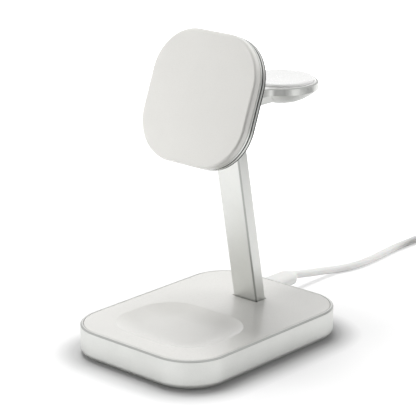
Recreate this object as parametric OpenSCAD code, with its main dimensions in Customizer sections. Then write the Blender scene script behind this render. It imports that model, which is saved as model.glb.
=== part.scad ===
// Three-in-one wireless charging stand: a tilting phone pad on a leaning stem,
// a watch disc on an arm behind it, and an earbud dish in the weighted base.
// X runs to the right, Y to the back and Z up. The origin is on the table,
// under the middle of the base.

/* [Base] */
// Width of the base
base_w = 90; // [80:0.5:110]
// Depth of the base from front to back
base_d = 121; // [116:0.5:148]
// Corner radius of the base seen from above
base_r = 22.3; // [20:0.1:26]
// Height of the base's top above the table
base_h = 16.1; // [15.8:0.1:20]
// Thickness of the cast base's walls
base_wall = 2.2; // [1.8:0.1:2.8]
// Polished chamfer round the top of the base
base_chamfer = 0.8; // [0.4:0.1:1.1]
// Rounding of the base's lower edge
base_round = 3; // [2:0.1:3.6]
// Width of the metal rim round the top panel
rim_w = 1.6; // [1.3:0.1:2]
// Thickness of the deck that carries the top panel
deck_t = 1.8; // [1.4:0.1:2.2]

/* [Top panel and earbud dish] */
// Thickness of the soft top panel
panel_t = 1.6; // [1.2:0.1:1.9]
// Width of the dish
dish_w = 63; // [50:0.5:66]
// Depth of the dish from front to back
dish_d = 51.5; // [42:0.5:54]
// Corner radius of the dish
dish_r = 20; // [16:0.5:21]
// How far the middle of the dish lies below the panel
dish_sink = 3.2; // [2:0.1:3.5]
// Width of the curved wall of the dish
dish_wall = 15; // [10:0.5:15.5]
// Distance from the base's front edge to the dish
dish_margin = 13; // [11:0.5:15]

/* [Bottom] */
// Thickness of the bottom cover
cover_t = 2.2; // [2:0.1:2.4]
// Thickness of the non-slip pad
foot_t = 1.6; // [1.4:0.1:1.8]
// Height of the base's lower edge above the table
base_lift = 1; // [0.8:0.1:1.2]
// Distance from the base's outline to the non-slip pad
foot_inset = 8; // [7:0.5:12]
// Thickness of the steel ballast plate
ballast_t = 3; // [2:0.1:3.2]

/* [Stem] */
// Width of the stem
stem_w = 16; // [14:0.1:19]
// Thickness of the stem
stem_t = 7.3; // [6.8:0.1:8.8]
// Wall of the stem's hollow section
stem_wall = 1.6; // [1.3:0.1:1.8]
// Chamfer along the stem's long edges
stem_chamfer = 0.7; // [0.4:0.1:1]
// Forward lean of the stem
stem_lean = 10.6; // [8:0.1:13]
// Length of the stem above the base
stem_len = 114; // [95:1:137]
// Distance from the base's rear edge to the stem's front face
stem_margin = 32.2; // [31:0.1:34]

/* [Phone head] */
// Width and height of the phone head
head_w = 67; // [60:0.5:80]
// Corner radius of the phone head
head_r = 23.5; // [20:0.5:26]
// Backward tilt of the phone head at rest
head_tilt = 20.8; // [12:0.1:26]
// Height of the head's centre above its hinge, along the face
head_rise = 4.07; // [0:0.01:8]
// Depth of the front cap
cap_d = 3.9; // [3.6:0.1:4.4]
// Wall thickness of the front cap
cap_wall = 1.6; // [1.3:0.1:1.8]
// Rounding of the front cap's edge
cap_round = 1.3; // [0.8:0.1:1.5]
// Width of each of the two raised rings round the head
ring_w = 1.2; // [0.9:0.1:1.4]
// Width of each of the two grooves that hold the dark seals
groove_w = 0.9; // [0.7:0.1:1.1]
// Depth of the grooves
groove_d = 1; // [0.6:0.1:1.2]
// Thickness of the rear cover beyond the last groove
rear_t = 0.8; // [0.7:0.1:1.2]

/* [Hinge] */
// Radius of the hinge bolt
bolt_r = 1.5; // [1.2:0.1:1.7]
// Radius of the hinge lug and ears
lug_r = 3.4; // [3:0.1:3.5]
// Width of the hinge lug
lug_w = 7.6; // [6:0.1:9]
// Width of each hinge ear
ear_w = 3.2; // [2.4:0.1:4]
// Distance from the stem's front face to the hinge axis
pivot_out = 5; // [4.8:0.1:6]
// Distance from the hinge axis to the head's rear face
pivot_back = 4.96; // [4.9:0.01:7]
// Distance from the stem's top down to the hinge axis
pivot_drop = 5.33; // [4.5:0.01:9]

/* [Watch arm] */
// Radius of the watch disc's frame
watch_r = 19.3; // [18:0.1:23]
// Distance from the stem to the middle of the watch disc
watch_reach = 40.8; // [36:0.1:49]
// Width of the arm
arm_w = 16; // [14:0.1:19]
// Height of the arm
arm_h = 8.4; // [8:0.1:9.4]
// Height of the upright wall round the arm and the disc
arm_wall_h = 3.9; // [3.4:0.1:4.6]
// How far the arm's sides slope in below that wall
arm_slope = 2.2; // [1:0.1:3]
// Radius of the disc's domed underside
dome_r = 28; // [26:0.5:30]
// How far the dome reaches below the arm
dome_drop = 1.4; // [0.6:0.1:1.8]
// Radius of the hollow where the arm meets the disc
neck_r = 9; // [6:0.5:11]
// Radius of the raised charging disc
disc_r = 17.2; // [16:0.1:17.6]
// Height of the raised charging disc above the arm
disc_rise = 1.6; // [1.2:0.1:2]

/* [Cable] */
// Diameter of the cable
cord_d = 4.2; // [3.6:0.1:4.6]
// Width of the plug's moulded grip
plug_w = 12; // [11:0.1:14]
// Thickness of the plug's moulded grip
plug_t = 6.2; // [5.6:0.1:7]
// Length of the plug's moulded grip
plug_len = 25; // [24:0.5:36]
// Distance of the socket from the middle of the base
socket_x = 18; // [14:0.5:20]

/* [Hidden] */
$fn = 96;

// Clearances: between pieces that are fixed together, and between hinge parts
fit = 0.1;
run = 0.05;
// Extra depth of a cut that breaks through a surface
cut = 1;

// Levels in the base, from the table up
cover_top = base_lift + cover_t;
flange_t = 1.2;
flange_top = cover_top + fit + flange_t;
panel_z = base_h - panel_t;
deck_z = panel_z - deck_t;
bowl_z = base_h - dish_sink - panel_t;

// Places in the base
dish_y = -base_d / 2 + dish_margin + dish_d / 2;
stem_y = base_d / 2 - stem_margin;
post_r = 3.4;
cover_in = 4.2;
flange_in = 6.8;
post_in = base_r - cover_in - 2 * fit - 2.8;
post_x = base_w / 2 - base_r + post_in * cos(45);
post_y = base_d / 2 - base_r + post_in * sin(45);
posts = [for (x = [-1, 1], y = [-1, 1]) [x * post_x, y * post_y]];
back_y = base_d / 2 - base_wall;
ballast_holes = [[-29, dish_y], [29, dish_y]];
board_holes = [for (x = [-8, 6, 22]) [x, back_y - 8]];

// Screws: shank radius, head radius and head height
m2 = [0.95, 1.9, 1.1];
m25 = [1.2, 2.2, 1];
m3 = [1.45, 2.7, 1.8];

// Stem levels, along the stem from the point where it leaves the base
stem_foot = -11.4;
pivot_up = stem_len - pivot_drop;
cap_t = 1.6;
stem_in_w = stem_w - 2 * stem_wall;
stem_in_t = stem_t - 2 * stem_wall;
socket_wall = 4.5;
socket_back = stem_y + stem_t / 2 + 10;
stem_screw_x = 4.5;
stem_screw_z = 8;
hinge_screw_up = [pivot_up - 7.4, pivot_up - 12.4];

// Watch arm
arm_top = base_h + stem_len * cos(stem_lean) + 0.14;
arm_bottom = arm_top - arm_h;
watch_y = stem_back(arm_top) + watch_reach;
neck_x = arm_w / 2 + neck_r;
neck_y = watch_y - sqrt(pow(watch_r + neck_r, 2) - pow(neck_x, 2));
arm_lip = 0.9;
arm_cover_t = 1.2;
arm_edge_h = arm_h - arm_wall_h;
arm_chamfer = 0.6;
arm_floor = arm_bottom + 2.1;
arm_ledge = arm_bottom + arm_edge_h - 0.2;
dome_z = arm_edge_h + sqrt(pow(dome_r, 2) - pow(watch_r, 2));
recess_r = sqrt(pow(dome_r, 2) - pow(dome_z + arm_bottom - arm_floor + 1.2, 2));
board_posts = [90, 210, 330];
arm_screw_x = 4.2;
arm_screw_up = pivot_up + 0.1;
arm_end = 9;
disc_hollow = 14;
disc_dip = 0.7;
disc_z = arm_top + run;
coil_top = disc_z + disc_rise - 1.3 - run;

// Phone head, in depth behind its front face
seam_w = 0.2;
ring_a = cap_d + seam_w;
groove_a = ring_a + ring_w;
ring_b = groove_a + groove_w;
groove_b = ring_b + ring_w;
rear_z = groove_b + groove_w;
head_t = rear_z + rear_t;
web_z = groove_a + 0.9;
web_t = 0.8;
spigot = 1.5;
head_screw = 18;
head_screws_at = [for (x = [-1, 1], y = [-1, 1]) [x * head_screw, y * head_screw]];
knuckle_screws_at = [[0, head_rise - 5.7], [0, head_rise + 5.7]];

// Hinge axis and head origin, in the YZ plane
pivot_y = stem_y - pivot_up * sin(stem_lean) - pivot_out * cos(stem_lean);
pivot_z = base_h + pivot_up * cos(stem_lean) - pivot_out * sin(stem_lean);
head_out = pivot_back + head_t;
head_y = pivot_y - head_out * cos(head_tilt) + head_rise * sin(head_tilt);
head_z = pivot_z + head_out * sin(head_tilt) + head_rise * cos(head_tilt);
plate_t = 1.2;
washer_t = 0.25;
washer_gap = 0.075;
ear_x = lug_w / 2 + washer_t + 2 * washer_gap;
hinge_half = ear_x + ear_w + run;

// Plug and socket
shell_w = 9;
shell_h = 3.2;
shell_t = 0.3;
socket_z = 8;
board_z = socket_z - shell_h / 2 - 1;
board_t = 1;
grip_y = base_d / 2 + 0.2;
taper_len = 6;
tongue_len = 6.4;

// Route of the cable from the near plug to the coil, and from the coil to the far plug
cord_route = [
    [-18, 91.7, 8], [-18, 95, 7.5], [-18, 100, 6.6], [-18, 105, 5.7], [-18, 111, 4.7],
    [-17.8, 118, 3.6], [-17.3, 124, 2.7], [-16.2, 129, 2.2], [-14.3, 135, 2.2],
    [-12.9, 144, 2.2], [-12.9, 155, 2.2], [-13.8, 166, 2.2], [-14.9, 177, 2.2], [-15.4, 188, 2.2], [-15.2, 199, 2.3],
    [-15.1, 209, 2.6], [-15.2, 218, 2.9], [-15.2, 224, 2.9]
];
tail_route = [
    [39.2, 228, 11.3], [39.2, 222, 11.3], [39.2, 217, 11], [39.2, 211.5, 9.7], [39.1, 206, 7.6],
    [39, 200, 5.3], [38.8, 194, 3.8], [38.6, 189, 3.1], [38.6, 185, 3.1]
];
far_end = tail_route[len(tail_route) - 1];
coil_x = 12;
coil_y = 226;
coil_lift = 0.8;
turn_r = 23;
turns_wide = 3;
turns_high = 3;
coil_half = turns_wide * cord_d / 2;
coil_h = turns_high * cord_d;
tie_t = 0.6;
tie_w = 9;
tie_gap = 0.1;
tie_side = 0.9;
far_len = 22;

// Y of the stem's back face at height z
function stem_back(z) = stem_y + stem_t / cos(stem_lean) - (z - base_h) * tan(stem_lean);

// Quarter round as [inset, height] points, rising from the table side
function foot_round(r, z) = [for (a = [0 : 10 : 90]) [r - r * sin(a), z + r - r * cos(a)]];

// Wall of the dish as [inset, height] points, from its floor up to the rim
function bowl_wall(width, depth, top) =
    [for (i = [0 : 8]) let (s = 1 - i / 8) [s * width, top - depth * (1 - pow(1 - s, 2.2))]];

module on_stem() {
    translate([0, stem_y, base_h]) rotate([stem_lean, 0, 0]) children();
}

// Frame of the phone head: z is the depth behind the face, y runs down it
module on_head() {
    translate([0, head_y, head_z]) rotate([-90 - head_tilt, 0, 0]) children();
}

module in_dish() {
    translate([0, dish_y, 0]) children();
}

module rounded_rect(w, d, r) {
    square([w, d - 2 * r], center = true);
    square([w - 2 * r, d], center = true);
    for (x = [-1, 1], y = [-1, 1])
        translate([x * (w / 2 - r), y * (d / 2 - r)]) circle(r);
}

// Bar with round ends, seen from its end
module oval(w, h) {
    square([w - h, h], center = true);
    for (x = [-1, 1]) translate([x * (w - h) / 2, 0]) circle(h / 2);
}

// Straight block with the plan of a rounded rectangle, drawn in by an inset
module block(w, d, r, inset, z0, z1) {
    translate([0, 0, z0])
        linear_extrude(z1 - z0) rounded_rect(w - 2 * inset, d - 2 * inset, r - inset);
}

// Block whose edge follows a profile of [inset, height] points, from bottom to top
module edge_slab(w, d, r, profile) {
    z0 = profile[0][1];
    z1 = profile[len(profile) - 1][1];
    edge = [for (p = profile) [r - p[0], p[1]]];
    quarter = concat([[0, z0]], edge, [[0, z1]]);
    x = w / 2 - r;
    y = d / 2 - r;
    for (k = [0 : 3])
        translate([(k == 0 || k == 3) ? x : -x, k < 2 ? y : -y, 0])
            rotate(90 * k) rotate_extrude(angle = 90) polygon(quarter);
    for (k = [0, 180])
        rotate(k) {
            translate([x, 0, 0]) rotate([90, 0, 0])
                linear_extrude(2 * y, center = true) polygon(quarter);
            translate([0, y, 0]) rotate([90, 0, 90])
                linear_extrude(2 * x, center = true) polygon(quarter);
        }
    translate([-x, -y, z0]) cube([2 * x, 2 * y, z1 - z0]);
}

// Row of upright cylinders, for holes, posts and bosses
module holes(places, r, z0, z1) {
    for (p = places)
        translate([p[0], p[1], z0]) cylinder(r = r, h = z1 - z0);
}

// Screw with its head on top, the underside of the head at z = 0
module screw(size, length) {
    cylinder(r = size[1], h = size[2]);
    translate([0, 0, -length]) cylinder(r = size[0], h = length);
}

// Parts of the base

module base_outer() {
    edge_slab(base_w, base_d, base_r, concat(
        foot_round(base_round, base_lift),
        [[0, base_h - base_chamfer], [base_chamfer, base_h]]
    ));
}

module stem_socket() {
    w = stem_w + 2 * socket_wall;
    z0 = cover_top + 0.5;
    translate([-w / 2, stem_y - socket_wall, z0])
        cube([w, socket_back - stem_y + socket_wall, deck_z + cut - z0]);
}

module stem_hole(gap) {
    on_stem() translate([-stem_w / 2 - gap, -gap, -30])
        cube([stem_w + 2 * gap, stem_t + 2 * gap, 60]);
}

module stem_screw_holes(r) {
    for (x = [-1, 1])
        translate([x * stem_screw_x, stem_y + stem_t / 2, stem_screw_z])
            rotate([-90, 0, 0]) cylinder(r = r, h = socket_back + cut - stem_y - stem_t / 2);
}

module base_body() {
    color("silver") difference() {
        union() {
            difference() {
                base_outer();
                block(base_w, base_d, base_r, rim_w, panel_z, base_h + cut);
                block(base_w, base_d, base_r, base_wall, flange_top, deck_z);
                block(base_w, base_d, base_r, cover_in, base_lift - cut, cover_top + fit);
                block(base_w, base_d, base_r, flange_in, base_lift, flange_top + cut);
                in_dish() block(dish_w + 5, dish_d + 5, dish_r + 2.5, 0, deck_z - cut, panel_z + cut);
            }
            stem_socket();
            holes(posts, post_r, cover_top + fit, deck_z + 0.5);
        }
        stem_hole(fit);
        stem_screw_holes(m3[0] + run);
        holes(posts, m25[0] + run, cover_top - cut, cover_top + 7);
        socket_cut(shell_w / 2 + 0.2, shell_h / 2 + 0.2);
    }
}

// Slot through the rear wall for the charging socket
module socket_cut(half_w, half_h) {
    translate([-socket_x, back_y - cut, socket_z]) rotate([-90, 0, 0])
        linear_extrude(base_wall + 2 * cut) oval(2 * half_w, 2 * half_h);
}

module top_panel() {
    edge = rim_w + fit;
    color([0.87, 0.865, 0.85]) difference() {
        union() {
            edge_slab(base_w, base_d, base_r,
                [[edge, panel_z], [edge, base_h - 0.3], [edge + 0.3, base_h]]);
            in_dish() edge_slab(dish_w + 3, dish_d + 3, dish_r + 1.5, concat(
                bowl_wall(dish_wall + 1, dish_sink, panel_z), [[0, panel_z + 0.5]]));
        }
        in_dish() edge_slab(dish_w, dish_d, dish_r, concat(
            bowl_wall(dish_wall, dish_sink, base_h), [[0, base_h + cut]]));
        stem_hole(0.35);
    }
}

module bottom_cover() {
    color([0.8, 0.8, 0.79]) difference() {
        union() {
            block(base_w, base_d, base_r, cover_in + fit, base_lift, cover_top);
            holes(board_holes, 2.6, base_lift, board_z - fit);
            holes(ballast_holes, 3, base_lift, cover_top);
        }
        block(base_w, base_d, base_r, foot_inset - fit, base_lift - cut, foot_t + fit);
        holes(posts, m25[1] + fit, base_lift - cut, cover_top - 0.5);
        holes(posts, m25[0] + fit, base_lift, cover_top + cut);
        holes(ballast_holes, m25[0] + run, foot_t + 0.4, cover_top + cut);
        holes(board_holes, m2[0] + run, foot_t + 0.6, board_z + cut);
    }
}

module foot_pad() {
    color([0.62, 0.62, 0.61])
        edge_slab(base_w, base_d, base_r, [
            [foot_inset + 0.4, 0], [foot_inset, 0.4], [foot_inset, foot_t]
        ]);
}

module cover_screws() {
    color("gray") for (p = posts)
        translate([p[0], p[1], cover_top - 0.5 - run]) mirror([0, 0, 1]) screw(m25, 6.5);
}

module ballast_plate() {
    z0 = cover_top + fit;
    w = base_w - 2 * base_wall - 18;
    front = -base_d / 2 + 18;
    back = stem_y - socket_wall - 3;
    color([0.45, 0.46, 0.47]) difference() {
        translate([0, (front + back) / 2, z0])
            linear_extrude(ballast_t) rounded_rect(w, back - front, 8);
        holes(ballast_holes, m25[0] + fit, z0 - cut, z0 + ballast_t + cut);
        in_dish() holes([[0, 0]], 6, z0 - cut, z0 + ballast_t + cut);
    }
}

module ballast_screws() {
    color("gray") for (p = ballast_holes)
        translate([p[0], p[1], cover_top + 2 * fit + ballast_t]) screw(m25, ballast_t + 1.3);
}

module base_board() {
    w = base_w - 2 * base_r + 6;
    d = 12.8;
    color([0.1, 0.35, 0.2]) difference() {
        union() {
            translate([-w / 2, back_y - d - 0.3, board_z]) cube([w, d, board_t]);
            translate([-4, back_y - 11, board_z + board_t]) cube([7, 5, 0.9]);
            translate([10, back_y - 11, board_z + board_t]) cube([8, 7, 1.6]);
        }
        holes(board_holes, m2[0] + 0.1, board_z - cut, board_z + board_t + cut);
    }
    color("gray") for (p = board_holes)
        translate([p[0], p[1], board_z + board_t + run]) screw([m2[0] - run, 1.7, 0.8], 2);
}

module usb_socket() {
    front = base_d / 2 - 0.1;
    deep = 8.6;
    color([0.75, 0.76, 0.78]) translate([-socket_x, front - deep, socket_z]) rotate([-90, 0, 0]) {
        difference() {
            linear_extrude(deep) oval(shell_w, shell_h);
            translate([0, 0, 1.2]) linear_extrude(deep) oval(shell_w - 2 * shell_t, shell_h - 2 * shell_t);
        }
        translate([-3.3, -0.35, 1]) cube([6.6, 0.7, 5.4]);
    }
}

module earbud_coil() {
    color([0.72, 0.45, 0.2]) in_dish() difference() {
        translate([0, 0, bowl_z - fit - 1]) cylinder(r = 15, h = 1);
        translate([0, 0, bowl_z - 3]) cylinder(r = 6, h = 4);
    }
}

module earbud_ferrite() {
    color([0.2, 0.2, 0.21]) in_dish()
        translate([0, 0, bowl_z - 2 * fit - 1.8]) cylinder(r = 16.5, h = 0.8);
}

// Parts of the stem

module stem_outline(c) {
    x = stem_w / 2;
    t = stem_t;
    polygon([
        [-x + c, 0], [x - c, 0], [x, c], [x, t - c],
        [x - c, t], [-x + c, t], [-x, t - c], [-x, c]
    ]);
}

module stem() {
    color([0.86, 0.86, 0.85]) difference() {
        on_stem() {
            difference() {
                translate([0, 0, stem_foot])
                    linear_extrude(stem_len - stem_foot) stem_outline(stem_chamfer);
                translate([-stem_in_w / 2, stem_wall, stem_foot - cut])
                    cube([stem_in_w, stem_in_t, stem_len - stem_foot + 2 * cut]);
                for (x = [-1, 1]) translate([x * arm_screw_x, 0, arm_screw_up]) rotate([-90, 0, 0]) {
                    translate([0, 0, -cut]) cylinder(r = m25[1] + 0.2, h = stem_wall + 2 * cut);
                    cylinder(r = m25[0] + run, h = stem_t + cut);
                }
                for (s = hinge_screw_up) translate([0, -cut, s]) rotate([-90, 0, 0])
                    cylinder(r = m2[0] + run, h = stem_wall + 2 * cut);
            }
        }
        stem_screw_holes(m3[0] + run);
    }
}

module stem_cap() {
    color([0.86, 0.86, 0.85]) on_stem() {
        translate([0, 0, stem_len]) linear_extrude(cap_t) stem_outline(stem_chamfer);
        translate([-stem_in_w / 2 + fit, stem_wall + fit, stem_len - 2])
            cube([stem_in_w - 2 * fit, stem_in_t - 2 * fit, 2 + cut / 2]);
    }
}

module stem_screws() {
    color("gray") for (x = [-1, 1])
        translate([x * stem_screw_x, socket_back + run, stem_screw_z])
            rotate([-90, 0, 0]) screw(m3, 7.4);
}

module stem_ribbon() {
    color([0.75, 0.5, 0.2]) on_stem()
        translate([-2.8, stem_t - stem_wall - 0.7, stem_foot + 1])
            cube([5.6, 0.6, arm_screw_up - 6 - stem_foot]);
}

// Hinge between the stem and the phone head

module on_pivot() {
    translate([0, pivot_y, pivot_z]) children();
}

module along_x(x, r, w) {
    translate([x, 0, 0]) rotate([0, 90, 0]) cylinder(r = r, h = w);
}

// Round-ended link of the hinge, seen along its bolt, with its foot below
module link_outline(reach) {
    difference() {
        union() {
            circle(lug_r);
            translate([-lug_r, -reach]) square([2 * lug_r, reach]);
        }
        circle(bolt_r + run);
    }
}

module hinge_bracket() {
    color([0.7, 0.71, 0.72]) on_stem() {
        difference() {
            translate([-stem_w / 2 + 1, -plate_t, pivot_up - 15.5])
                cube([stem_w - 2, plate_t, 19.5]);
            for (s = hinge_screw_up)
                translate([0, -plate_t - cut, s]) rotate([-90, 0, 0]) cylinder(r = m2[0] + fit, h = 4);
        }
        translate([-lug_w / 2, -pivot_out, pivot_up]) rotate([90, 0, 90])
            linear_extrude(lug_w) rotate(90) link_outline(pivot_out - plate_t / 2);
    }
}

module hinge_screws() {
    color("gray") on_stem() for (s = hinge_screw_up)
        translate([0, -plate_t - run, s]) rotate([90, 0, 0]) screw(m2, plate_t + stem_wall + 1);
}

module hinge_bolt() {
    color("gray") on_pivot() {
        along_x(-hinge_half - 2.6, bolt_r, 2 * hinge_half + 2.6);
        difference() {
            along_x(hinge_half, 2.7, 1.8);
            translate([hinge_half + 0.8, 0, 0]) rotate([0, 90, 0]) cylinder(r = 1.15, h = 2, $fn = 6);
        }
    }
}

module hinge_nut() {
    color("gray") on_pivot() difference() {
        translate([-hinge_half - 2.4, 0, 0]) rotate([0, 90, 0]) cylinder(r = 3.1, h = 2.4, $fn = 6);
        along_x(-hinge_half - 4, bolt_r + run, 6);
    }
}

module hinge_washers() {
    color("gray") on_pivot() for (x = [lug_w / 2 + washer_gap, -lug_w / 2 - washer_gap - washer_t])
        difference() {
            along_x(x, lug_r - 0.2, washer_t);
            along_x(x - cut, bolt_r + run, washer_t + 2 * cut);
        }
}

// Parts of the watch arm

// Keyhole outline of the arm and disc, drawn in by an inset
module keyhole(inset, y0) {
    x = neck_x * watch_r / (watch_r + neck_r);
    y = watch_y - (watch_y - neck_y) * watch_r / (watch_r + neck_r);
    translate([0, watch_y]) circle(watch_r - inset);
    translate([-arm_w / 2 + inset, y0]) square([arm_w - 2 * inset, neck_y - y0 + 0.5]);
    difference() {
        polygon([[-neck_x, neck_y], [neck_x, neck_y], [x, y], [0, watch_y], [-x, y]]);
        for (s = [-1, 1]) translate([s * neck_x, neck_y]) circle(neck_r + inset);
    }
}

// Body of the arm and disc. The edge profile is turned round the disc, drawn
// along the arm, and cut the other way round in the two hollows of the neck.
// Below its upright wall the arm slopes in, and the disc is a shallow dome
module arm_solid(y0) {
    x = neck_x * watch_r / (watch_r + neck_r);
    y = watch_y - (watch_y - neck_y) * watch_r / (watch_r + neck_r);
    wall = [[0, arm_h - arm_chamfer], [arm_chamfer, arm_h]];
    a0 = acos((dome_z + dome_drop) / dome_r);
    a1 = asin(watch_r / dome_r);
    dome = [for (i = [0 : 8]) let (a = a0 + (a1 - a0) * i / 8)
        [dome_r * sin(a), dome_z - dome_r * cos(a)]];
    disc = concat(dome, [for (p = wall) [watch_r - p[0], p[1]]]);
    bar = concat([[arm_w / 2 - arm_slope, 0], [arm_w / 2, arm_edge_h]],
        [for (p = wall) [arm_w / 2 - p[0], p[1]]]);
    hollow = concat([[neck_r, 0]], [for (p = wall) [neck_r + p[0], p[1]]]);
    translate([0, watch_y, 0]) rotate_extrude()
        polygon(concat([[0, -dome_drop]], disc, [[0, arm_h]]));
    translate([0, watch_y, 0]) rotate([90, 0, 0]) linear_extrude(watch_y - y0)
        polygon(concat(bar, [for (k = [len(bar) - 1 : -1 : 0]) [-bar[k][0], bar[k][1]]]));
    difference() {
        translate([0, 0, arm_edge_h]) linear_extrude(arm_wall_h)
            polygon([[-neck_x, neck_y], [neck_x, neck_y], [x, y], [0, watch_y], [-x, y]]);
        for (s = [-1, 1]) translate([s * neck_x, neck_y, 0])
            rotate_extrude() polygon(concat([[0, 0]], hollow,
                [[neck_r + arm_chamfer, arm_h + cut], [0, arm_h + cut]]));
    }
}

module arm_frame() {
    y0 = stem_back(arm_top) - 2;
    y1 = stem_back(arm_top) + arm_end;
    color([0.78, 0.78, 0.77]) difference() {
        translate([0, 0, arm_bottom]) arm_solid(y0);
        stem_hole(run);
        on_stem() translate([-stem_w, -10, stem_len - 30]) cube([2 * stem_w, 10 + stem_t + run, 60]);
        translate([0, 0, arm_top - arm_cover_t]) linear_extrude(arm_cover_t + cut)
            keyhole(arm_lip, y0 - 2);
        difference() {
            union() {
                translate([0, 0, arm_ledge]) linear_extrude(arm_h) keyhole(2, y1);
                translate([0, watch_y, arm_floor]) cylinder(r = recess_r, h = arm_h);
            }
            for (a = board_posts) translate([0, watch_y, 0]) rotate(a)
                translate([12.2, 0, arm_floor - cut]) cylinder(r = 1.6, h = 2.4 + cut);
        }
        on_stem() for (x = [-1, 1]) translate([x * arm_screw_x, stem_t, arm_screw_up])
            rotate([-90, 0, 0]) cylinder(r = m25[0] + run, h = 7);
    }
}

module arm_cover() {
    color("white") difference() {
        translate([0, 0, arm_top - arm_cover_t + run]) linear_extrude(arm_cover_t - run)
            keyhole(arm_lip + fit, stem_back(arm_top) - 4);
        on_stem() translate([-stem_w, -10, stem_len - 30]) cube([2 * stem_w, 10 + stem_t + fit, 60]);
        translate([0, watch_y, arm_top - 5]) cylinder(r = disc_r - 1.2, h = 10);
    }
}

module arm_screws() {
    color("gray") on_stem() for (x = [-1, 1])
        translate([x * arm_screw_x, stem_t - stem_wall - run, arm_screw_up])
            rotate([90, 0, 0]) screw([m25[0], m25[1] - 0.3, 1.4], stem_wall + 5.5);
}

module watch_disc() {
    top = disc_z + disc_rise;
    neck = disc_r - 1.4;
    under = disc_z - 1.7;
    dip = [for (x = [0 : 2 : disc_hollow]) [x, top - disc_dip * (1 - pow(x / disc_hollow, 2))]];
    rim = [for (a = [90 : -15 : 0]) [disc_r - 1 + cos(a), top - 1 + sin(a)]];
    color("white") translate([0, watch_y, 0]) difference() {
        rotate_extrude() polygon(concat(
            dip, rim, [[disc_r, disc_z], [neck, disc_z], [neck, under], [0, under]]));
        translate([0, 0, under - cut]) cylinder(r = neck - 1, h = disc_z + disc_rise - 1.3 - under + cut);
    }
}

module watch_coil() {
    color([0.72, 0.45, 0.2]) translate([0, watch_y, coil_top - 0.9]) difference() {
        cylinder(r = 13, h = 0.9);
        translate([0, 0, -cut]) cylinder(r = 5.6, h = 3);
    }
}

module watch_magnet() {
    color("gray") translate([0, watch_y, coil_top - 0.9]) cylinder(r = 5, h = 0.9);
}

module watch_ferrite() {
    color([0.2, 0.2, 0.21]) translate([0, watch_y, coil_top - 0.9 - fit - 0.7])
        cylinder(r = 14.2, h = 0.7);
}

module watch_board() {
    color([0.1, 0.35, 0.2]) translate([0, watch_y, arm_floor + 2.4 + fit]) {
        cylinder(r = 14.6, h = 0.8);
        translate([-4, -3, 0.5]) cube([6, 6, 1.1]);
    }
}

// Parts of the phone head

module head_slab(profile) {
    edge_slab(head_w, head_w, head_r, profile);
}

module head_block(inset, z0, z1) {
    block(head_w, head_w, head_r, inset, z0, z1);
}

module pad_cap() {
    color([0.9, 0.9, 0.89]) on_head() difference() {
        head_slab(concat(
            [for (a = [0 : 10 : 90]) cap_round * [1 - sin(a), 1 - cos(a)]], [[0, cap_d]]));
        head_block(cap_wall + fit, cap_wall, cap_d + cut);
    }
}

module head_frame() {
    inside = cap_wall + 2 * fit;
    front = cap_d - spigot;
    color([0.8, 0.8, 0.79]) on_head() difference() {
        head_slab([
            [inside, front], [inside, ring_a], [0, ring_a], [0, groove_a],
            [groove_d, groove_a], [groove_d, ring_b], [0, ring_b], [0, groove_b],
            [groove_d, groove_b], [groove_d, rear_z]
        ]);
        difference() {
            head_block(inside + 1.4, front - cut, web_z);
            holes(head_screws_at, 2.7, front + 1, web_z + cut);
        }
        head_block(inside + 1.4, web_z + web_t, rear_z + cut);
        holes(head_screws_at, m2[0] + run, front, web_z + 3);
    }
}

// Two dark bands that lie nearly flush in the grooves of the frame
module head_seals() {
    color([0.16, 0.16, 0.16]) on_head() for (z = [groove_a, groove_b])
        difference() {
            head_block(0.12, z + run / 2, z + groove_w - run / 2);
            head_block(groove_d - run, z - cut, z + groove_w + cut);
        }
}

module rear_cover() {
    inset = cap_wall + 3 * fit + 1.4;
    color([0.88, 0.88, 0.87]) on_head() difference() {
        head_slab([
            [inset, web_z + web_t + fit], [inset, rear_z + run], [groove_d, rear_z + run],
            [groove_d, rear_z + 0.3], [groove_d + 0.15, head_t - 0.2], [groove_d + 0.4, head_t]
        ]);
        holes(head_screws_at, m2[0] + fit, web_z, head_t + cut);
        holes(head_screws_at, m2[1] + fit, head_t - m2[2], head_t + cut);
        holes(knuckle_screws_at, m2[0] + run, web_z, head_t + cut);
    }
}

module rear_screws() {
    color("gray") on_head() for (p = head_screws_at)
        translate([p[0], p[1], head_t - m2[2] + run]) difference() {
            screw([m2[0], m2[1], m2[2] - 2 * run], 5);
            translate([0, 0, 0.4]) cylinder(r = 0.8, h = 2, $fn = 6);
        }
}

module head_knuckle() {
    z0 = head_t + run;
    color([0.7, 0.71, 0.72]) on_head() {
        difference() {
            translate([-9.5, head_rise - 8, z0]) cube([19, 16, plate_t]);
            holes(knuckle_screws_at, m2[0] + fit, head_t - cut, head_t + 3);
            holes(knuckle_screws_at, m2[1] + fit, z0 + 0.5, head_t + 3);
        }
        for (x = [ear_x, -ear_x - ear_w])
            translate([x, head_rise, head_out]) rotate([90, 0, 90])
                linear_extrude(ear_w) link_outline(pivot_back - run - plate_t / 2);
    }
}

module knuckle_screws() {
    color("gray") on_head() for (p = knuckle_screws_at)
        translate([p[0], p[1], head_t + run + 0.55]) screw([m2[0], m2[1], 0.6], 2.2);
}

module phone_magnets() {
    color("gray") on_head() translate([0, 0, cap_wall + run])
        for (k = [0 : 15]) rotate(22.5 * k + 1)
            rotate_extrude(angle = 20.5) translate([23, 0]) square([4.2, 0.9]);
}

module phone_coil() {
    color([0.72, 0.45, 0.2]) on_head() translate([0, 0, cap_wall + run]) difference() {
        cylinder(r = 22, h = 0.8);
        translate([0, 0, -cut]) cylinder(r = 10, h = 3);
    }
}

module phone_ferrite() {
    color([0.2, 0.2, 0.21]) on_head() translate([0, 0, cap_wall + 0.9 + 2 * run])
        cylinder(r = 22.5, h = 0.6);
}

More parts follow.
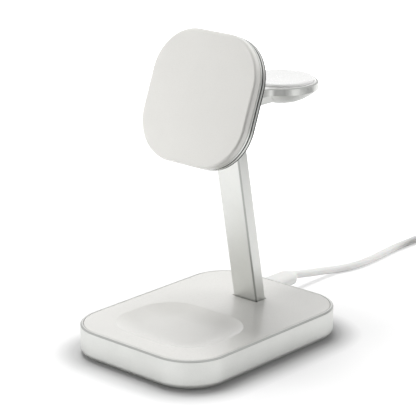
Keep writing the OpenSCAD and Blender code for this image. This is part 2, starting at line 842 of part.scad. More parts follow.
module head_board() {
    color([0.1, 0.35, 0.2]) on_head() {
        translate([-21, -14, web_z - 1 - run]) cube([42, 28, 1]);
        translate([-9, -6, web_z - 2.4 - run]) cube([7, 7, 1.5]);
        translate([4, 2, web_z - 2.2 - run]) cube([9, 6, 1.3]);
    }
}

// The cable and what is on it

// One tube swept along a list of points, with a ring of sides at each point
function along(p, i) =
    let (d = p[min(i + 1, len(p) - 1)] - p[max(i - 1, 0)]) d / norm(d);
function ring(p, i, r, sides) =
    let (t = along(p, i), s = cross(t, [0, 0, 1]), side = s / norm(s), up = cross(side, t))
    [for (k = [0 : sides - 1]) p[i] + r * (cos(360 * k / sides) * side + sin(360 * k / sides) * up)];

module tube(p, r, sides) {
    n = len(p);
    points = [for (i = [0 : n - 1]) each ring(p, i, r, sides)];
    walls = [for (i = [0 : n - 2], k = [0 : sides - 1])
        let (a = i * sides + k, b = i * sides + (k + 1) % sides) [a, a + sides, b + sides, b]];
    first = [for (k = [0 : sides - 1]) k];
    last = [for (k = [sides - 1 : -1 : 0]) (n - 1) * sides + k];
    polyhedron(points, concat([first], walls, [last]));
}

module cord_lead() {
    color("white") tube(cord_route, cord_d / 2, 10);
}

module cord_tail() {
    color("white") tube(tail_route, cord_d / 2, 10);
}

module cord_coil() {
    color("white") translate([coil_x, coil_y, coil_lift]) rotate_extrude()
        translate([turn_r, coil_h / 2]) rounded_rect(2 * coil_half, coil_h, cord_d / 2);
}

module cord_tie() {
    color([0.85, 0.85, 0.84]) translate([coil_x, coil_y + turn_r, coil_lift + coil_h / 2])
        rotate([90, 0, 90]) linear_extrude(tie_w, center = true) difference() {
            rounded_rect(
                2 * (coil_half + tie_side + tie_t), coil_h + 2 * (tie_t + tie_gap), cord_d / 2);
            rounded_rect(2 * (coil_half + tie_side), coil_h + 2 * tie_gap, cord_d / 2);
        }
}

// Moulded grip of a plug, along +Y from its front face at the origin
module grip(length) {
    rotate([-90, 0, 0]) linear_extrude(length) oval(plug_w, plug_t);
    hull($fn = 32) {
        translate([0, length, 0]) rotate([-90, 0, 0]) linear_extrude(0.01) oval(plug_w, plug_t);
        translate([0, length + taper_len - 0.01, 0]) rotate([-90, 0, 0])
            cylinder(r = cord_d / 2 + 0.35, h = 0.01);
    }
}

// Metal tongue shell of a plug, along -Y from the front of its grip
module shell_tube(length) {
    translate([0, -length, 0]) rotate([-90, 0, 0]) linear_extrude(length) difference() {
        oval(8.2, 2.4);
        oval(7.2, 1.4);
    }
}

module plug_grip() {
    color("white") translate([-socket_x, grip_y, socket_z]) grip(plug_len);
}

module plug_shell() {
    color([0.75, 0.76, 0.78]) translate([-socket_x, grip_y - run, socket_z]) shell_tube(tongue_len);
}

module far_grip() {
    color("white") translate(far_end) translate([0, -far_len - taper_len, 0]) grip(far_len);
}

module far_shell() {
    color([0.75, 0.76, 0.78]) translate(far_end)
        translate([0, -far_len - taper_len - run, 0]) shell_tube(tongue_len);
}

base_body();
top_panel();
bottom_cover();
foot_pad();
cover_screws();
ballast_plate();
ballast_screws();
base_board();
usb_socket();
earbud_coil();
earbud_ferrite();
stem();
stem_cap();
stem_screws();
stem_ribbon();
hinge_bracket();
hinge_screws();
hinge_bolt();
hinge_nut();
hinge_washers();
arm_frame();
arm_cover();
arm_screws();
watch_disc();
watch_coil();
watch_magnet();
watch_ferrite();
watch_board();
pad_cap();
head_frame();
head_seals();
rear_cover();
rear_screws();
head_knuckle();
knuckle_screws();
phone_magnets();
phone_coil();
phone_ferrite();
head_board();
plug_shell();
plug_grip();
cord_lead();
cord_coil();
cord_tail();
cord_tie();
far_grip();
far_shell();
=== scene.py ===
"""Wireless charging stand for three devices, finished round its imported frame.

Lengths in the modelling functions are millimetres, as on a maker's drawing;
each finished piece is brought to metres as its last step.
"""

import math
from types import SimpleNamespace

import bmesh
import bpy
from bpy.props import FloatProperty, FloatVectorProperty, IntProperty, PointerProperty
from mathutils import Matrix, Vector


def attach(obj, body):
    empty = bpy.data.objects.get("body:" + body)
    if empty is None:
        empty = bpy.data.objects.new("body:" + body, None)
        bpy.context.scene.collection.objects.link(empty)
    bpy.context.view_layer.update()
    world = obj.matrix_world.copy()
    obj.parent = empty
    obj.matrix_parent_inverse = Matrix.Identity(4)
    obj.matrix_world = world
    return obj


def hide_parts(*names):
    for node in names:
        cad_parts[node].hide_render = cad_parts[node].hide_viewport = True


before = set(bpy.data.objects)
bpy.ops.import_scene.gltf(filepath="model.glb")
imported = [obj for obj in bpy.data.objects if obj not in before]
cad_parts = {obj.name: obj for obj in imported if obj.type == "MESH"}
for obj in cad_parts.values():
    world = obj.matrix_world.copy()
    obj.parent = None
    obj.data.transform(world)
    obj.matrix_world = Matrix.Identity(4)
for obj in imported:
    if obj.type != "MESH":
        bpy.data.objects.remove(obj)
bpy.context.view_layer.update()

bl_info = {
    "name": "Charging Stand",
    "version": (1, 0, 0),
    "blender": (4, 5, 0),
    "location": "View3D > Sidebar > Charging Stand",
    "description": "Builds a desk charging stand with a phone pad, a watch arm and an earbud dish",
    "category": "Add Mesh",
}

MM = 0.001
# Points nearer than WELD become one, so shells of one piece stay APART
WELD, APART = 0.003, 0.01
# Edges that turn by more than this stay crisp
CRISP = math.radians(38)

# Base, from the table up
BASE_W, BASE_D, BASE_R, BASE_H = 90.0, 121.0, 22.3, 16.1
BASE_LIFT, BASE_ROUND, BASE_CHAMFER = 1.0, 3.0, 0.8
RIM_W, WALL_T = 1.6, 2.2
SHELF_W, SHELF_Z, SHELF_T = 6.0, 14.45, 1.8
FLANGE_W, FLANGE_LOW, FLANGE_HIGH, SKIRT_T = 6.8, 3.3, 4.5, 4.2
FOOT_T, FOOT_INSET = 1.6, 8.0
# Lower edge of the foot as (inset, rise), and rim of the panel as (inset, drop)
FOOT_EDGE = ((0.4, 0), (0.12, 0.12), (0, 0.4))
PANEL_EDGE = ((0, 0.35), (0.1, 0.12), (0.3, 0))
PANEL_T, PANEL_GAP = 1.55, 0.1
DISH_W, DISH_D, DISH_R, DISH_Y = 63.0, 51.5, 20.0, -21.75
DISH_WALL, DISH_SINK, DISH_POWER, DISH_STEPS = 15.0, 3.2, 2.2, 22

# Stem, leaning forward from the base
STEM_W, STEM_T, STEM_CHAMFER = 16.0, 7.3, 0.7
STEM_LEAN, STEM_Y, STEM_SLOT = math.radians(10.6), 28.3, 0.35
STEM_FOOT, STEM_LEN = 8.0, 114.0
STEM_CAP, STEM_CAP_CUT, STEM_CAP_SEAM = 1.6, 0.4, 0.02

# Phone head, in depth behind its front face
HEAD_W, HEAD_R, HEAD_TILT = 67.0, 23.5, 20.8
HEAD_Y, HEAD_Z = -8.3030, 130.7934
CAP_D, CAP_ROUND, CAP_BREAK, CAP_LIP = 3.9, 1.3, 0.12, 1.6
SEAM_W, SEAM_D, SEAM_LIP = 0.2, 1.2, 0.15
RING_W, RING_BREAK, GROOVE_W, GROOVE_D = 1.2, 0.05, 0.9, 1.0
RING_1 = CAP_D + SEAM_W
GROOVE_1 = RING_1 + RING_W
RING_2 = GROOVE_1 + GROOVE_W
GROOVE_2 = RING_2 + RING_W
REAR = GROOVE_2 + GROOVE_W
# Bands in the grooves, set almost flush and near black as painted shade: sink, back and gap
BAND_SINK, BAND_BACK, BAND_GAP = 0.12, 0.97, 0.03
REAR_T, REAR_SEAM, REAR_SCREW = 0.8, 0.05, 18.0
RECESS_R, RECESS_D, RECESS_STEPS = 2.0, 0.7, 32
# Rim of the rear cover as (inset, drop)
REAR_EDGE = ((0, 0.5), (0.05, 0.45), (0.15, 0.2), (0.25, 0.07), (0.4, 0))

# Watch arm
WATCH_R, WATCH_Y = 19.3, 55.5301
ARM_W, ARM_H, ARM_TOP = 16.0, 8.4, 128.2946
ARM_WALL_H, ARM_SLOPE, ARM_CHAMFER, NECK_R = 3.9, 2.2, 0.6, 9.0
# The arm is drawn this far into the stem and then trimmed; its lower shells
# reach this far up into its wall
ARM_OVERRUN, ARM_LAP, ARM_GAP = 6.0, 0.6, 0.05
DOME_R, DOME_DROP, DOME_STEPS = 28.0, 1.4, 16
COVER_T, COVER_EDGE, COVER_GAP, COVER_HOLE_STEPS = 1.2, 0.9, 0.1, 96
DISC_R, DISC_RISE, DISC_ROUND, DISC_BREAK = 17.2, 1.6, 1.0, 0.15
DISC_HOLLOW, DISC_DIP, DIP_STEPS, DISC_STEPS = 14.0, 0.7, 24, 144
DISC_SEAM, DISC_SHOULDER, DISC_HOLE, DISC_SINK = 0.05, 1.4, 1.2, 1.6

# Cable: the route from the near plug to the coil, and from the coil to the far
# plug. It leaves the near plug's grip at the second point.
CORD_D = 4.2
LEAD = (
    (-18, 87, 8), (-18, 91.7, 8), (-18, 95, 7.5), (-18, 100, 6.6), (-18, 105, 5.7),
    (-18, 111, 4.7), (-17.8, 118, 3.6), (-17.3, 124, 2.7), (-16.2, 129, 2.2),
    (-14.3, 135, 2.2), (-12.9, 144, 2.2), (-12.9, 155, 2.2), (-13.8, 166, 2.2),
    (-14.9, 177, 2.2), (-15.4, 188, 2.2), (-15.2, 199, 2.3), (-15.1, 209, 2.6),
    (-15.2, 218, 2.9),
)
TAIL = (
    (39.2, 222, 11.3), (39.2, 217, 11.0), (39.2, 211.5, 9.7), (39.1, 206, 7.6),
    (39, 200, 5.3), (38.8, 194, 3.8), (38.6, 189, 3.1), (38.6, 185, 3.1), (38.6, 181, 3.1),
)
COIL_X, COIL_Y, COIL_LIFT, TURN_R = 12.0, 226.0, 0.8, 23.0
# Place of each turn in the coil, as rings out from its middle and layers up,
# and the share of a turn that keeps to it
TURNS = ((1, 0), (0, 0), (-1, 0), (-1, 1), (-1, 2), (0, 2), (0, 1), (1, 1), (1, 2))
TURN_POINTS, TURN_KEPT = 18, 0.83
PLUG_AT, PLUG_LEN = (-18.0, 60.7, 8.0), 25.0
FAR_AT, FAR_LEN = (38.6, 157.0, 3.1), 22.0
GRIP_W, GRIP_T, GRIP_WALL, GRIP_STEPS = 12.0, 6.2, 0.35, 48
# Nose of a grip as (distance, loss of radius), its taper and its rounded end
GRIP_NOSE = ((0, 0.7), (0.08, 0.4), (0.3, 0.14), (0.7, 0))
TAPER_LEN, TAPER_START, TAPER_STEPS = 6.0, 1.0, 12
GRIP_END_LEN, GRIP_END_ROUND = 0.4, 0.3
TONGUE_W, TONGUE_H, TONGUE_LEN, TONGUE_FLOOR = 8.2, 2.4, 6.4, 0.4
TONGUE_WALL, TONGUE_BREAK, TONGUE_TIP, TONGUE_LIP, TONGUE_SUNK = 0.3, 0.15, 0.2, 0.9, 0.1
TIE_W, TIE_T, TIE_SLACK, TIE_ROOM, TIE_CORNER = 9.0, 0.6, 1.8, 0.2, 0.5

# Where most values of a noise lie, for slow clouds and for fine grain
CLOUD_RANGE, GRAIN_RANGE = (0.35, 0.65), (0.3, 0.7)
# Radians that a wave texture turns by in each of its units
WAVE_TURN = 20

# Studio, in metres: the photograph's camera, and each lamp's and board's place,
# aim, width and height, with a lamp's watts or a board's grey
CAMERA_AT, CAMERA_AIM = (0.5816, -0.6424, 0.3455), (-0.00034, 0, 0.07205)
CAMERA_LENS, CAMERA_SENSOR, CAMERA_REACH = 156.58, 36, 50
LAMPS = {
    "Key": ((-0.22, 0.04, 1.0), (0, 0, 0.05), 0.45, 0.45, 7.0),
    "Fill": ((-0.24, -0.36, 0.04), (0, 0, 0.13), 0.2, 0.15, 1.75),
    "Back": ((-0.6, 0.67, 0.33), (0, 0, 0.03), 0.5, 0.25, 1.4),
    "Side": ((0.6, 0.5, 0.16), (0, 0, 0.08), 0.35, 0.2, 3.0),
}
BOARDS = {
    "Front board": ((0.23, -0.185, 0.1), (0, 0, 0.08), 0.33, 0.2, 0.03),
    "Left board": ((-0.34, -0.42, 0.1), (0, 0, 0.08), 0.34, 0.16, 0.5),
    "Right board": ((0.25, 0.23, 0.1), (0, 0, 0.08), 0.4, 0.2, 0.35),
    "Arm board": ((-0.01, 0.083, 0.08), (-0.01, 0.0831, 0.2), 0.08, 0.055, 0.75),
}
# Level of the room on the object, and where the room is seen
ROOM_LIGHT, ROOM_SEEN = 0.24, 1.0
# Glow of the floor at a distance from the base. It is none next to the base, so that a painted
# shadow follows the base's outline.
FLOOR_R = 4
FLOOR_GLOW_PAST_PAINTED_SHADOW = ((0.003, 0.0), (0.0145, 0.45), (0.05, 0.5), (0.6, 1.0))


# Sizes and colours that a user would change


class StandSizes(bpy.types.PropertyGroup):
    edge_round: FloatProperty(
        name="Edge rounding", description="Small rounding that every hard edge gets",
        default=0.00012, min=0.00002, max=0.0004, precision=5, unit="LENGTH")
    grain: FloatProperty(
        name="Blasting grain", description="Width of the grain on the blasted metal",
        default=0.0009, min=0.0001, max=0.002, precision=5, unit="LENGTH")
    cord_diameter: FloatProperty(
        name="Cable diameter", description="Diameter of the charging cable",
        default=CORD_D * MM, min=0.003, max=0.006, precision=5, unit="LENGTH")
    cord_length: FloatProperty(
        name="Cable length", description="Length of the cable between its two plugs",
        default=1.42, min=0.5, max=3, unit="LENGTH")
    corner_steps: IntProperty(
        name="Corner steps", description="Steps in each quarter turn of an outline",
        default=24, min=8, max=48)


def srgb(code):
    """Linear colour of an sRGB hex value."""
    parts = [int(code[i:i + 2], 16) / 255 for i in (1, 3, 5)]
    return tuple(c / 12.92 if c <= 0.04045 else ((c + 0.055) / 1.055) ** 2.4 for c in parts)


def colour(name, description, code):
    return FloatVectorProperty(
        name=name, description=description, default=srgb(code),
        subtype="COLOR", size=3, min=0, max=1)


class StandColours(bpy.types.PropertyGroup):
    aluminium: colour("Aluminium", "Anodised silver of the base, stem and arm", "#DFE0DD")
    soft_grey: colour("Soft grey", "Soft-touch panel and phone pad", "#DAD9D5")
    white: colour("White", "Watch disc and arm cover", "#E9E9E8")
    cover: colour("Cover grey", "Bottom cover and rear cover", "#D8D8D6")
    rubber: colour("Grey rubber", "Non-slip pad", "#9A9A97")
    # Near-black bands fill the head's grooves almost flush, as painted shade of the grooves
    dark: colour("Groove shade rubber", "Bands in the head's grooves", "#0E0E0E")
    cable: colour("Cable", "Jacket and plug grips", "#E4E4E2")
    tie: colour("Tie", "Woven strip round the coil", "#D3D3D0")
    # Grey floor paint: where the floor has no glow, along the base, it gives a painted shadow
    floor: colour("Floor", "Studio floor", "#C6C6C6")


# Materials


def add_node(tree, kind, values=None, links=None, **settings):
    """Adds one node with its settings, its input values and the links into it."""
    node = tree.nodes.new(kind)
    for key, value in settings.items():
        setattr(node, key, value)
    for socket, value in (values or {}).items():
        node.inputs[socket].default_value = value
    for socket, source in (links or {}).items():
        tree.links.new(source, node.inputs[socket])
    return node


def start_material(name, **values):
    """New material whose shader starts from constant values on its own sockets."""
    material = bpy.data.materials.new(name)
    material.use_nodes = True
    tree = material.node_tree
    shader = tree.nodes["Principled BSDF"]
    for socket, value in values.items():
        shader.inputs[socket.replace("_", " ")].default_value = value
    return SimpleNamespace(material=material, tree=tree, shader=shader)


def shade(base, factor):
    """A colour made darker or lighter, with the alpha that a socket takes."""
    return tuple(min(1, c * factor) for c in base[:3]) + (1,)


def per_metre(size_mm):
    """Texture scale that puts one feature on each size_mm of the surface."""
    return 1 / (size_mm * MM)


def wave_scale(size_mm):
    """Scale of a wave texture whose waves are size_mm apart."""
    return per_metre(size_mm) * math.tau / WAVE_TURN


def surface(name, base, grain_mm, depth_mm, cloud_mm, spread, rough, **values):
    """Starts a material with fine grain in its bump and gloss, and slow clouds in
    its colour.

    The real grain of every finish here is 0.1 mm or less. It is drawn coarser,
    grain_mm wide, so that it shows."""
    made = start_material(name, **values)
    tree = made.tree
    made.coords = add_node(tree, "ShaderNodeTexCoord")
    grain = add_node(
        tree, "ShaderNodeTexNoise", {"Scale": per_metre(grain_mm), "Detail": 3.0},
        {"Vector": made.coords.outputs["Object"]})
    made.bump = add_node(
        tree, "ShaderNodeBump", {"Strength": 1.0, "Distance": depth_mm * MM},
        {"Height": grain.outputs["Fac"]})
    cloud = add_node(
        tree, "ShaderNodeTexNoise", {"Scale": per_metre(cloud_mm), "Detail": 4.0},
        {"Vector": made.coords.outputs["Object"]})
    made.tint = add_node(tree, "ShaderNodeValToRGB", links={"Fac": cloud.outputs["Fac"]})
    ends = made.tint.color_ramp.elements
    ends[0].position, ends[0].color = CLOUD_RANGE[0], shade(base, 1 - spread)
    ends[1].position, ends[1].color = CLOUD_RANGE[1], shade(base, 1 + spread)
    gloss = add_node(
        tree, "ShaderNodeMapRange",
        {"From Min": GRAIN_RANGE[0], "From Max": GRAIN_RANGE[1],
         "To Min": rough[0], "To Max": rough[1]},
        {"Value": grain.outputs["Fac"]})
    tree.links.new(made.tint.outputs["Color"], made.shader.inputs["Base Color"])
    tree.links.new(gloss.outputs["Result"], made.shader.inputs["Roughness"])
    tree.links.new(made.bump.outputs["Normal"], made.shader.inputs["Normal"])
    return made


def blasted_aluminium(name, base, grain_mm):
    """Anodised aluminium, bead blasted: glass beads leave a fine even grain that
    breaks the reflection into a soft silvery sheen with no direction."""
    # The real grain is about 0.1 mm, drawn at 0.9 mm so that it shows
    return surface(
        name, base, grain_mm, depth_mm=0.06, cloud_mm=9, spread=0.012, rough=(0.32, 0.46),
        Metallic=1.0).material


def polished_aluminium_with_painted_shade(name, base):
    """Diamond-cut aluminium: the cutter leaves a smooth bright chamfer. Its colour is painted
    darker, at 0.62 of the aluminium, as painted shade for the darker parts of the room that it
    mirrors."""
    # The cutter's marks are about 0.05 mm apart, drawn at 1.2 mm so that they show
    # Painted shade: the chamfer's colour is darkened to 0.62 of the aluminium's
    return surface(
        name, shade(base, 0.62), grain_mm=1.2, depth_mm=0.002, cloud_mm=12, spread=0.02,
        rough=(0.3, 0.4), Metallic=1.0).material


def soft_touch(name, base):
    """Polycarbonate with a soft-touch coat: even and satin, with a very fine
    pebble under a film that mirrors its surroundings softly."""
    # The real pebble is about 0.1 mm, drawn at 0.3 mm so that it shows
    return surface(
        name, base, grain_mm=0.3, depth_mm=0.008, cloud_mm=14, spread=0.008,
        rough=(0.26, 0.34), IOR=1.5, Coat_Weight=0.6, Coat_Roughness=0.15).material


def satin_abs(name, base, rough, coat=0.0):
    """Injection-moulded ABS: an even skin from the mould's satin polish, with a
    long soft waviness from shrinkage."""
    return surface(
        name, base, grain_mm=0.8, depth_mm=0.004, cloud_mm=18, spread=0.006, rough=rough,
        IOR=1.53, Coat_Weight=coat, Coat_Roughness=0.12).material


def silicone(name, base, rough, sheen):
    """Moulded silicone: dull and slightly dusty, with a soft sheen at its edges
    where it is pale."""
    return surface(
        name, base, grain_mm=0.35, depth_mm=0.02, cloud_mm=6, spread=0.03, rough=rough,
        IOR=1.43, Sheen_Weight=sheen, Sheen_Roughness=0.6).material


def cable_jacket(name, base):
    """Extruded elastomer jacket: matt, with faint draw lines along the cable and
    a slow unevenness from the wires beneath."""
    made = surface(
        name, base, grain_mm=0.3, depth_mm=0.006, cloud_mm=7, spread=0.012, rough=(0.4, 0.5),
        IOR=1.5, Subsurface_Weight=0.05, Subsurface_Scale=0.001)
    # The cable's own UV map runs along it and round it
    place = add_node(
        made.tree, "ShaderNodeMapping", {"Scale": (40, 12, 1)},
        {"Vector": made.coords.outputs["UV"]})
    lines = add_node(
        made.tree, "ShaderNodeTexNoise", {"Scale": 6.0, "Detail": 2.0},
        {"Vector": place.outputs["Vector"]})
    drawn = add_node(
        made.tree, "ShaderNodeBump", {"Strength": 0.5, "Distance": 0.01 * MM},
        {"Height": lines.outputs["Fac"], "Normal": made.bump.outputs["Normal"]})
    made.tree.links.new(drawn.outputs["Normal"], made.shader.inputs["Normal"])
    return made.material


def plated_steel(name, code, rough, cloud_mm=3):
    """Plated or zinc-passivated steel: bright, with a slightly cloudy film."""
    return surface(
        name, srgb(code), grain_mm=0.25, depth_mm=0.006, cloud_mm=cloud_mm, spread=0.05,
        rough=rough, Metallic=1.0).material


def copper_winding(name):
    """Enamelled copper wire in a flat spiral: glossy turns 0.5 mm apart, with
    dark lines between them."""
    made = surface(
        name, srgb("#B87333"), grain_mm=0.4, depth_mm=0.01, cloud_mm=5, spread=0.06,
        rough=(0.22, 0.34), Metallic=1.0, Coat_Weight=0.6, Coat_Roughness=0.1)
    turns = add_node(
        made.tree, "ShaderNodeTexWave", {"Scale": wave_scale(0.5)},
        {"Vector": made.coords.outputs["Object"]}, wave_type="RINGS", rings_direction="Z")
    ridge = add_node(
        made.tree, "ShaderNodeBump", {"Strength": 0.8, "Distance": 0.05 * MM},
        {"Height": turns.outputs["Fac"], "Normal": made.bump.outputs["Normal"]})
    made.tree.links.new(ridge.outputs["Normal"], made.shader.inputs["Normal"])
    return made.material


def ferrite_sheet(name):
    """Sintered ferrite: nearly black, matt, with a granular fracture sparkle."""
    return surface(
        name, srgb("#2A2A2C"), grain_mm=0.2, depth_mm=0.03, cloud_mm=2.5, spread=0.15,
        rough=(0.5, 0.75), IOR=1.7).material


def circuit_board(name):
    """Glass-epoxy board under green solder mask: glossy, with copper tracks that
    show through as a lighter green pattern 1.3 mm apart."""
    made = surface(
        name, srgb("#1F5C38"), grain_mm=0.3, depth_mm=0.01, cloud_mm=4, spread=0.05,
        rough=(0.25, 0.35), IOR=1.55, Coat_Weight=0.4, Coat_Roughness=0.1)
    # A row of bricks is a quarter of the texture's unit high
    tracks = add_node(
        made.tree, "ShaderNodeTexBrick",
        {"Scale": per_metre(1.3) / 4, "Mortar Size": 0.06, "Color1": shade(srgb("#1F5C38"), 1),
         "Color2": shade(srgb("#256B42"), 1), "Mortar": shade(srgb("#3E8A5A"), 1)},
        {"Vector": made.coords.outputs["Object"]})
    made.tree.links.new(tracks.outputs["Color"], made.shader.inputs["Base Color"])
    return made.material


def polyimide(name):
    """Polyimide ribbon: amber film over copper tracks that run along it, 1.1 mm
    apart."""
    made = surface(
        name, srgb("#A8651E"), grain_mm=0.3, depth_mm=0.004, cloud_mm=6, spread=0.04,
        rough=(0.2, 0.3), IOR=1.66, Coat_Weight=0.3)
    tracks = add_node(
        made.tree, "ShaderNodeTexWave", {"Scale": wave_scale(1.1)},
        {"Vector": made.coords.outputs["Object"]}, wave_type="BANDS", bands_direction="X")
    mix = add_node(
        made.tree, "ShaderNodeMix", {"B": shade(srgb("#7A4A1A"), 1)},
        {"Factor": tracks.outputs["Fac"], "A": made.tint.outputs["Color"]}, data_type="RGBA")
    made.tree.links.new(mix.outputs["Result"], made.shader.inputs["Base Color"])
    return made.material


def woven_tie(name, base):
    """Hook-and-loop strip: a fuzzy woven face with threads about 0.6 mm apart."""
    made = surface(
        name, base, grain_mm=0.25, depth_mm=0.06, cloud_mm=3, spread=0.05,
        rough=(0.75, 0.9), IOR=1.5, Sheen_Weight=0.35, Sheen_Roughness=0.4)
    weave = add_node(
        made.tree, "ShaderNodeTexVoronoi", {"Scale": per_metre(0.6)},
        {"Vector": made.coords.outputs["Object"]}, feature="F1")
    threads = add_node(
        made.tree, "ShaderNodeBump", {"Strength": 0.8, "Distance": 0.12 * MM},
        {"Height": weave.outputs["Distance"], "Normal": made.bump.outputs["Normal"]})
    made.tree.links.new(threads.outputs["Normal"], made.shader.inputs["Normal"])
    return made.material


def seen_rays(tree):
    """Output that is 1 for what the camera, metal and glass see, else 0."""
    path = add_node(tree, "ShaderNodeLightPath")
    seen = add_node(
        tree, "ShaderNodeMath", operation="MAXIMUM",
        links={0: path.outputs["Is Camera Ray"], 1: path.outputs["Is Glossy Ray"]})
    return add_node(
        tree, "ShaderNodeMath", operation="MAXIMUM",
        links={0: seen.outputs[0], 1: path.outputs["Is Transmission Ray"]}).outputs[0]


def studio_floor(name, base):
    """Matt painted studio floor. It adds a light of its own to what the camera, metal and glass
    see, none beside the base and more further off, so that it reads as white. Along the base's
    outline, where it has none of that light, its grey paint gives a painted shadow, which the
    metal mirrors too."""
    material = bpy.data.materials.new(name)
    material.use_nodes = True
    tree = material.node_tree
    tree.nodes.clear()
    # Distance from the base's rounded outline
    coords = add_node(tree, "ShaderNodeTexCoord")
    side = add_node(
        tree, "ShaderNodeVectorMath", links={0: coords.outputs["Object"]}, operation="ABSOLUTE")
    past = add_node(
        tree, "ShaderNodeVectorMath",
        {1: ((BASE_W / 2 - BASE_R) * MM, (BASE_D / 2 - BASE_R) * MM, 0)},
        {0: side.outputs["Vector"]}, operation="SUBTRACT")
    past = add_node(
        tree, "ShaderNodeVectorMath", {1: (0, 0, 0)}, {0: past.outputs["Vector"]},
        operation="MAXIMUM")
    far = add_node(
        tree, "ShaderNodeVectorMath", links={0: past.outputs["Vector"]}, operation="LENGTH")
    far = add_node(
        tree, "ShaderNodeMath", {1: BASE_R * MM}, {0: far.outputs["Value"]},
        operation="SUBTRACT")
    # Painted shadow: no glow along the base's outline, rising with the distance from it
    glow = add_node(tree, "ShaderNodeValToRGB", links={"Fac": far.outputs[0]})
    for at, level in FLOOR_GLOW_PAST_PAINTED_SHADOW:
        glow.color_ramp.elements.new(at).color = (level, level, level, 1)
    lift = add_node(
        tree, "ShaderNodeMath", links={0: seen_rays(tree), 1: glow.outputs["Color"]},
        operation="MULTIPLY")
    paint = add_node(tree, "ShaderNodeBsdfDiffuse", {"Color": shade(base, 1)})
    light = add_node(tree, "ShaderNodeEmission", links={"Strength": lift.outputs[0]})
    both = add_node(
        tree, "ShaderNodeAddShader", links={0: paint.outputs[0], 1: light.outputs[0]})
    add_node(tree, "ShaderNodeOutputMaterial", links={"Surface": both.outputs[0]})
    return material


MATERIALS = {}


def finishes():
    """The record's material slots with their materials, made once."""
    if MATERIALS:
        return MATERIALS
    c = bpy.context.scene.stand_colours
    grain = bpy.context.scene.stand_sizes.grain / MM
    MATERIALS.update({
        "blasted_aluminium": blasted_aluminium("Blasted aluminium", c.aluminium, grain),
        "polished": polished_aluminium_with_painted_shade("Diamond-cut aluminium", c.aluminium),
        "soft_grey": soft_touch("Soft-touch polycarbonate", c.soft_grey),
        "cover_plastic": satin_abs("Textured ABS", c.cover, (0.45, 0.55)),
        "white_plastic": satin_abs("Satin white ABS", c.white, (0.22, 0.28), 0.25),
        "grey_rubber": silicone("Grey silicone", c.rubber, (0.55, 0.7), 0.12),
        # Near-black bands in the head's grooves: painted shade of the grooves
        "dark_rubber": silicone("Groove shade elastomer", c.dark, (0.6, 0.7), 0.0),
        "circuit_board": circuit_board("Glass-epoxy board"),
        "socket_steel": plated_steel("Nickel-plated steel", "#C9C8C6", (0.22, 0.32)),
        "copper": copper_winding("Enamelled copper"),
        "ferrite": ferrite_sheet("Sintered ferrite"),
        "magnet": plated_steel("Nickel-plated magnet", "#CFCDC8", (0.12, 0.2), 6),
        "ribbon_film": polyimide("Polyimide film"),
        "hinge_steel": plated_steel("Satin-plated steel", "#B9B9B8", (0.34, 0.44)),
        "screw_steel": plated_steel("Zinc-plated steel", "#A4A5A8", (0.28, 0.4)),
        "cord_white": cable_jacket("Matt cable jacket", c.cable),
        "tie_fabric": woven_tie("Woven hook-and-loop", c.tie),
    })
    return MATERIALS


# Modelling, in millimetres


def extrude_run(bm, edges, run):
    """Draws edges out along a straight run. Returns the edges at its end."""
    made = bmesh.ops.extrude_edge_only(bm, edges=edges)["geom"]
    verts = [g for g in made if isinstance(g, bmesh.types.BMVert)]
    bmesh.ops.translate(bm, verts=verts, vec=run)
    moved = set(verts)
    return [g for g in made if isinstance(g, bmesh.types.BMEdge) and moved.issuperset(g.verts)]


def sweep(bm, profile, moves, closed=False):
    """Carries a profile of points along straight runs and round turns.

    profile holds the points at the start; each move is a run (dx, dy) or a
    turn (centre x, centre y, degrees)."""
    steps = bpy.context.scene.stand_sizes.corner_steps
    verts = [bm.verts.new(p) for p in profile]
    pairs = list(zip(verts, verts[1:])) + ([(verts[-1], verts[0])] if closed else [])
    edges = [bm.edges.new(p) for p in pairs]
    for move in moves:
        if len(move) == 2:
            edges = extrude_run(bm, edges, (*move, 0))
        else:
            last = bmesh.ops.spin(
                bm, geom=edges, cent=(move[0], move[1], 0), axis=(0, 0, 1),
                angle=math.radians(move[2]), use_merge=False,
                steps=max(2, round(steps * abs(move[2]) / 90)))["geom_last"]
            edges = [g for g in last if isinstance(g, bmesh.types.BMEdge)]


def round_sweep(bm, w, d, r, profile, closed=False):
    """Sweeps a profile of (inset, height) points round a rounded rectangle."""
    x, y = w / 2 - r, d / 2 - r
    before = set(bm.verts)
    sweep(bm, [(w / 2 - inset, -y, z) for inset, z in profile], (
        (0, 2 * y), (x, y, 90), (-2 * x, 0), (-x, y, 90),
        (0, -2 * y), (-x, -y, 90), (2 * x, 0), (x, -y, 90)), closed)
    weld(bm, [v for v in bm.verts if v not in before])


def turn_disc(bm, profile):
    """Turns a profile of (radius, height) points round the watch disc's axis."""
    verts = [bm.verts.new((r, WATCH_Y, z)) for r, z in profile]
    bmesh.ops.spin(
        bm, geom=[bm.edges.new(p) for p in zip(verts, verts[1:])], cent=(0, WATCH_Y, 0),
        axis=(0, 0, 1), angle=math.tau, steps=DISC_STEPS, use_merge=True)


def weld(bm, verts=None):
    bmesh.ops.remove_doubles(bm, verts=verts or bm.verts, dist=WELD)


def open_edges(bm):
    return [e for e in bm.edges if e.is_boundary]


def ring_at(bm, z):
    """Open edges that lie at one height."""
    return [e for e in bm.edges
            if (e.is_boundary or e.is_wire) and all(abs(v.co.z - z) < WELD for v in e.verts)]


def cap(bm, edges):
    """Fills the area between closed rings of edges with triangles."""
    bmesh.ops.triangle_fill(bm, edges=edges, use_beauty=True, use_dissolve=False)


def face_at(bm, z):
    """Closes the open ring at one height with a single face."""
    bmesh.ops.contextual_create(bm, geom=ring_at(bm, z))


def circle(bm, place, r, segments):
    """Ring of edges round a place. Returns its vertices and its edges."""
    made = bmesh.ops.create_circle(
        bm, cap_ends=False, radius=r, segments=segments, matrix=place)["verts"]
    return made, list(dict.fromkeys(e for v in made for e in v.link_edges))


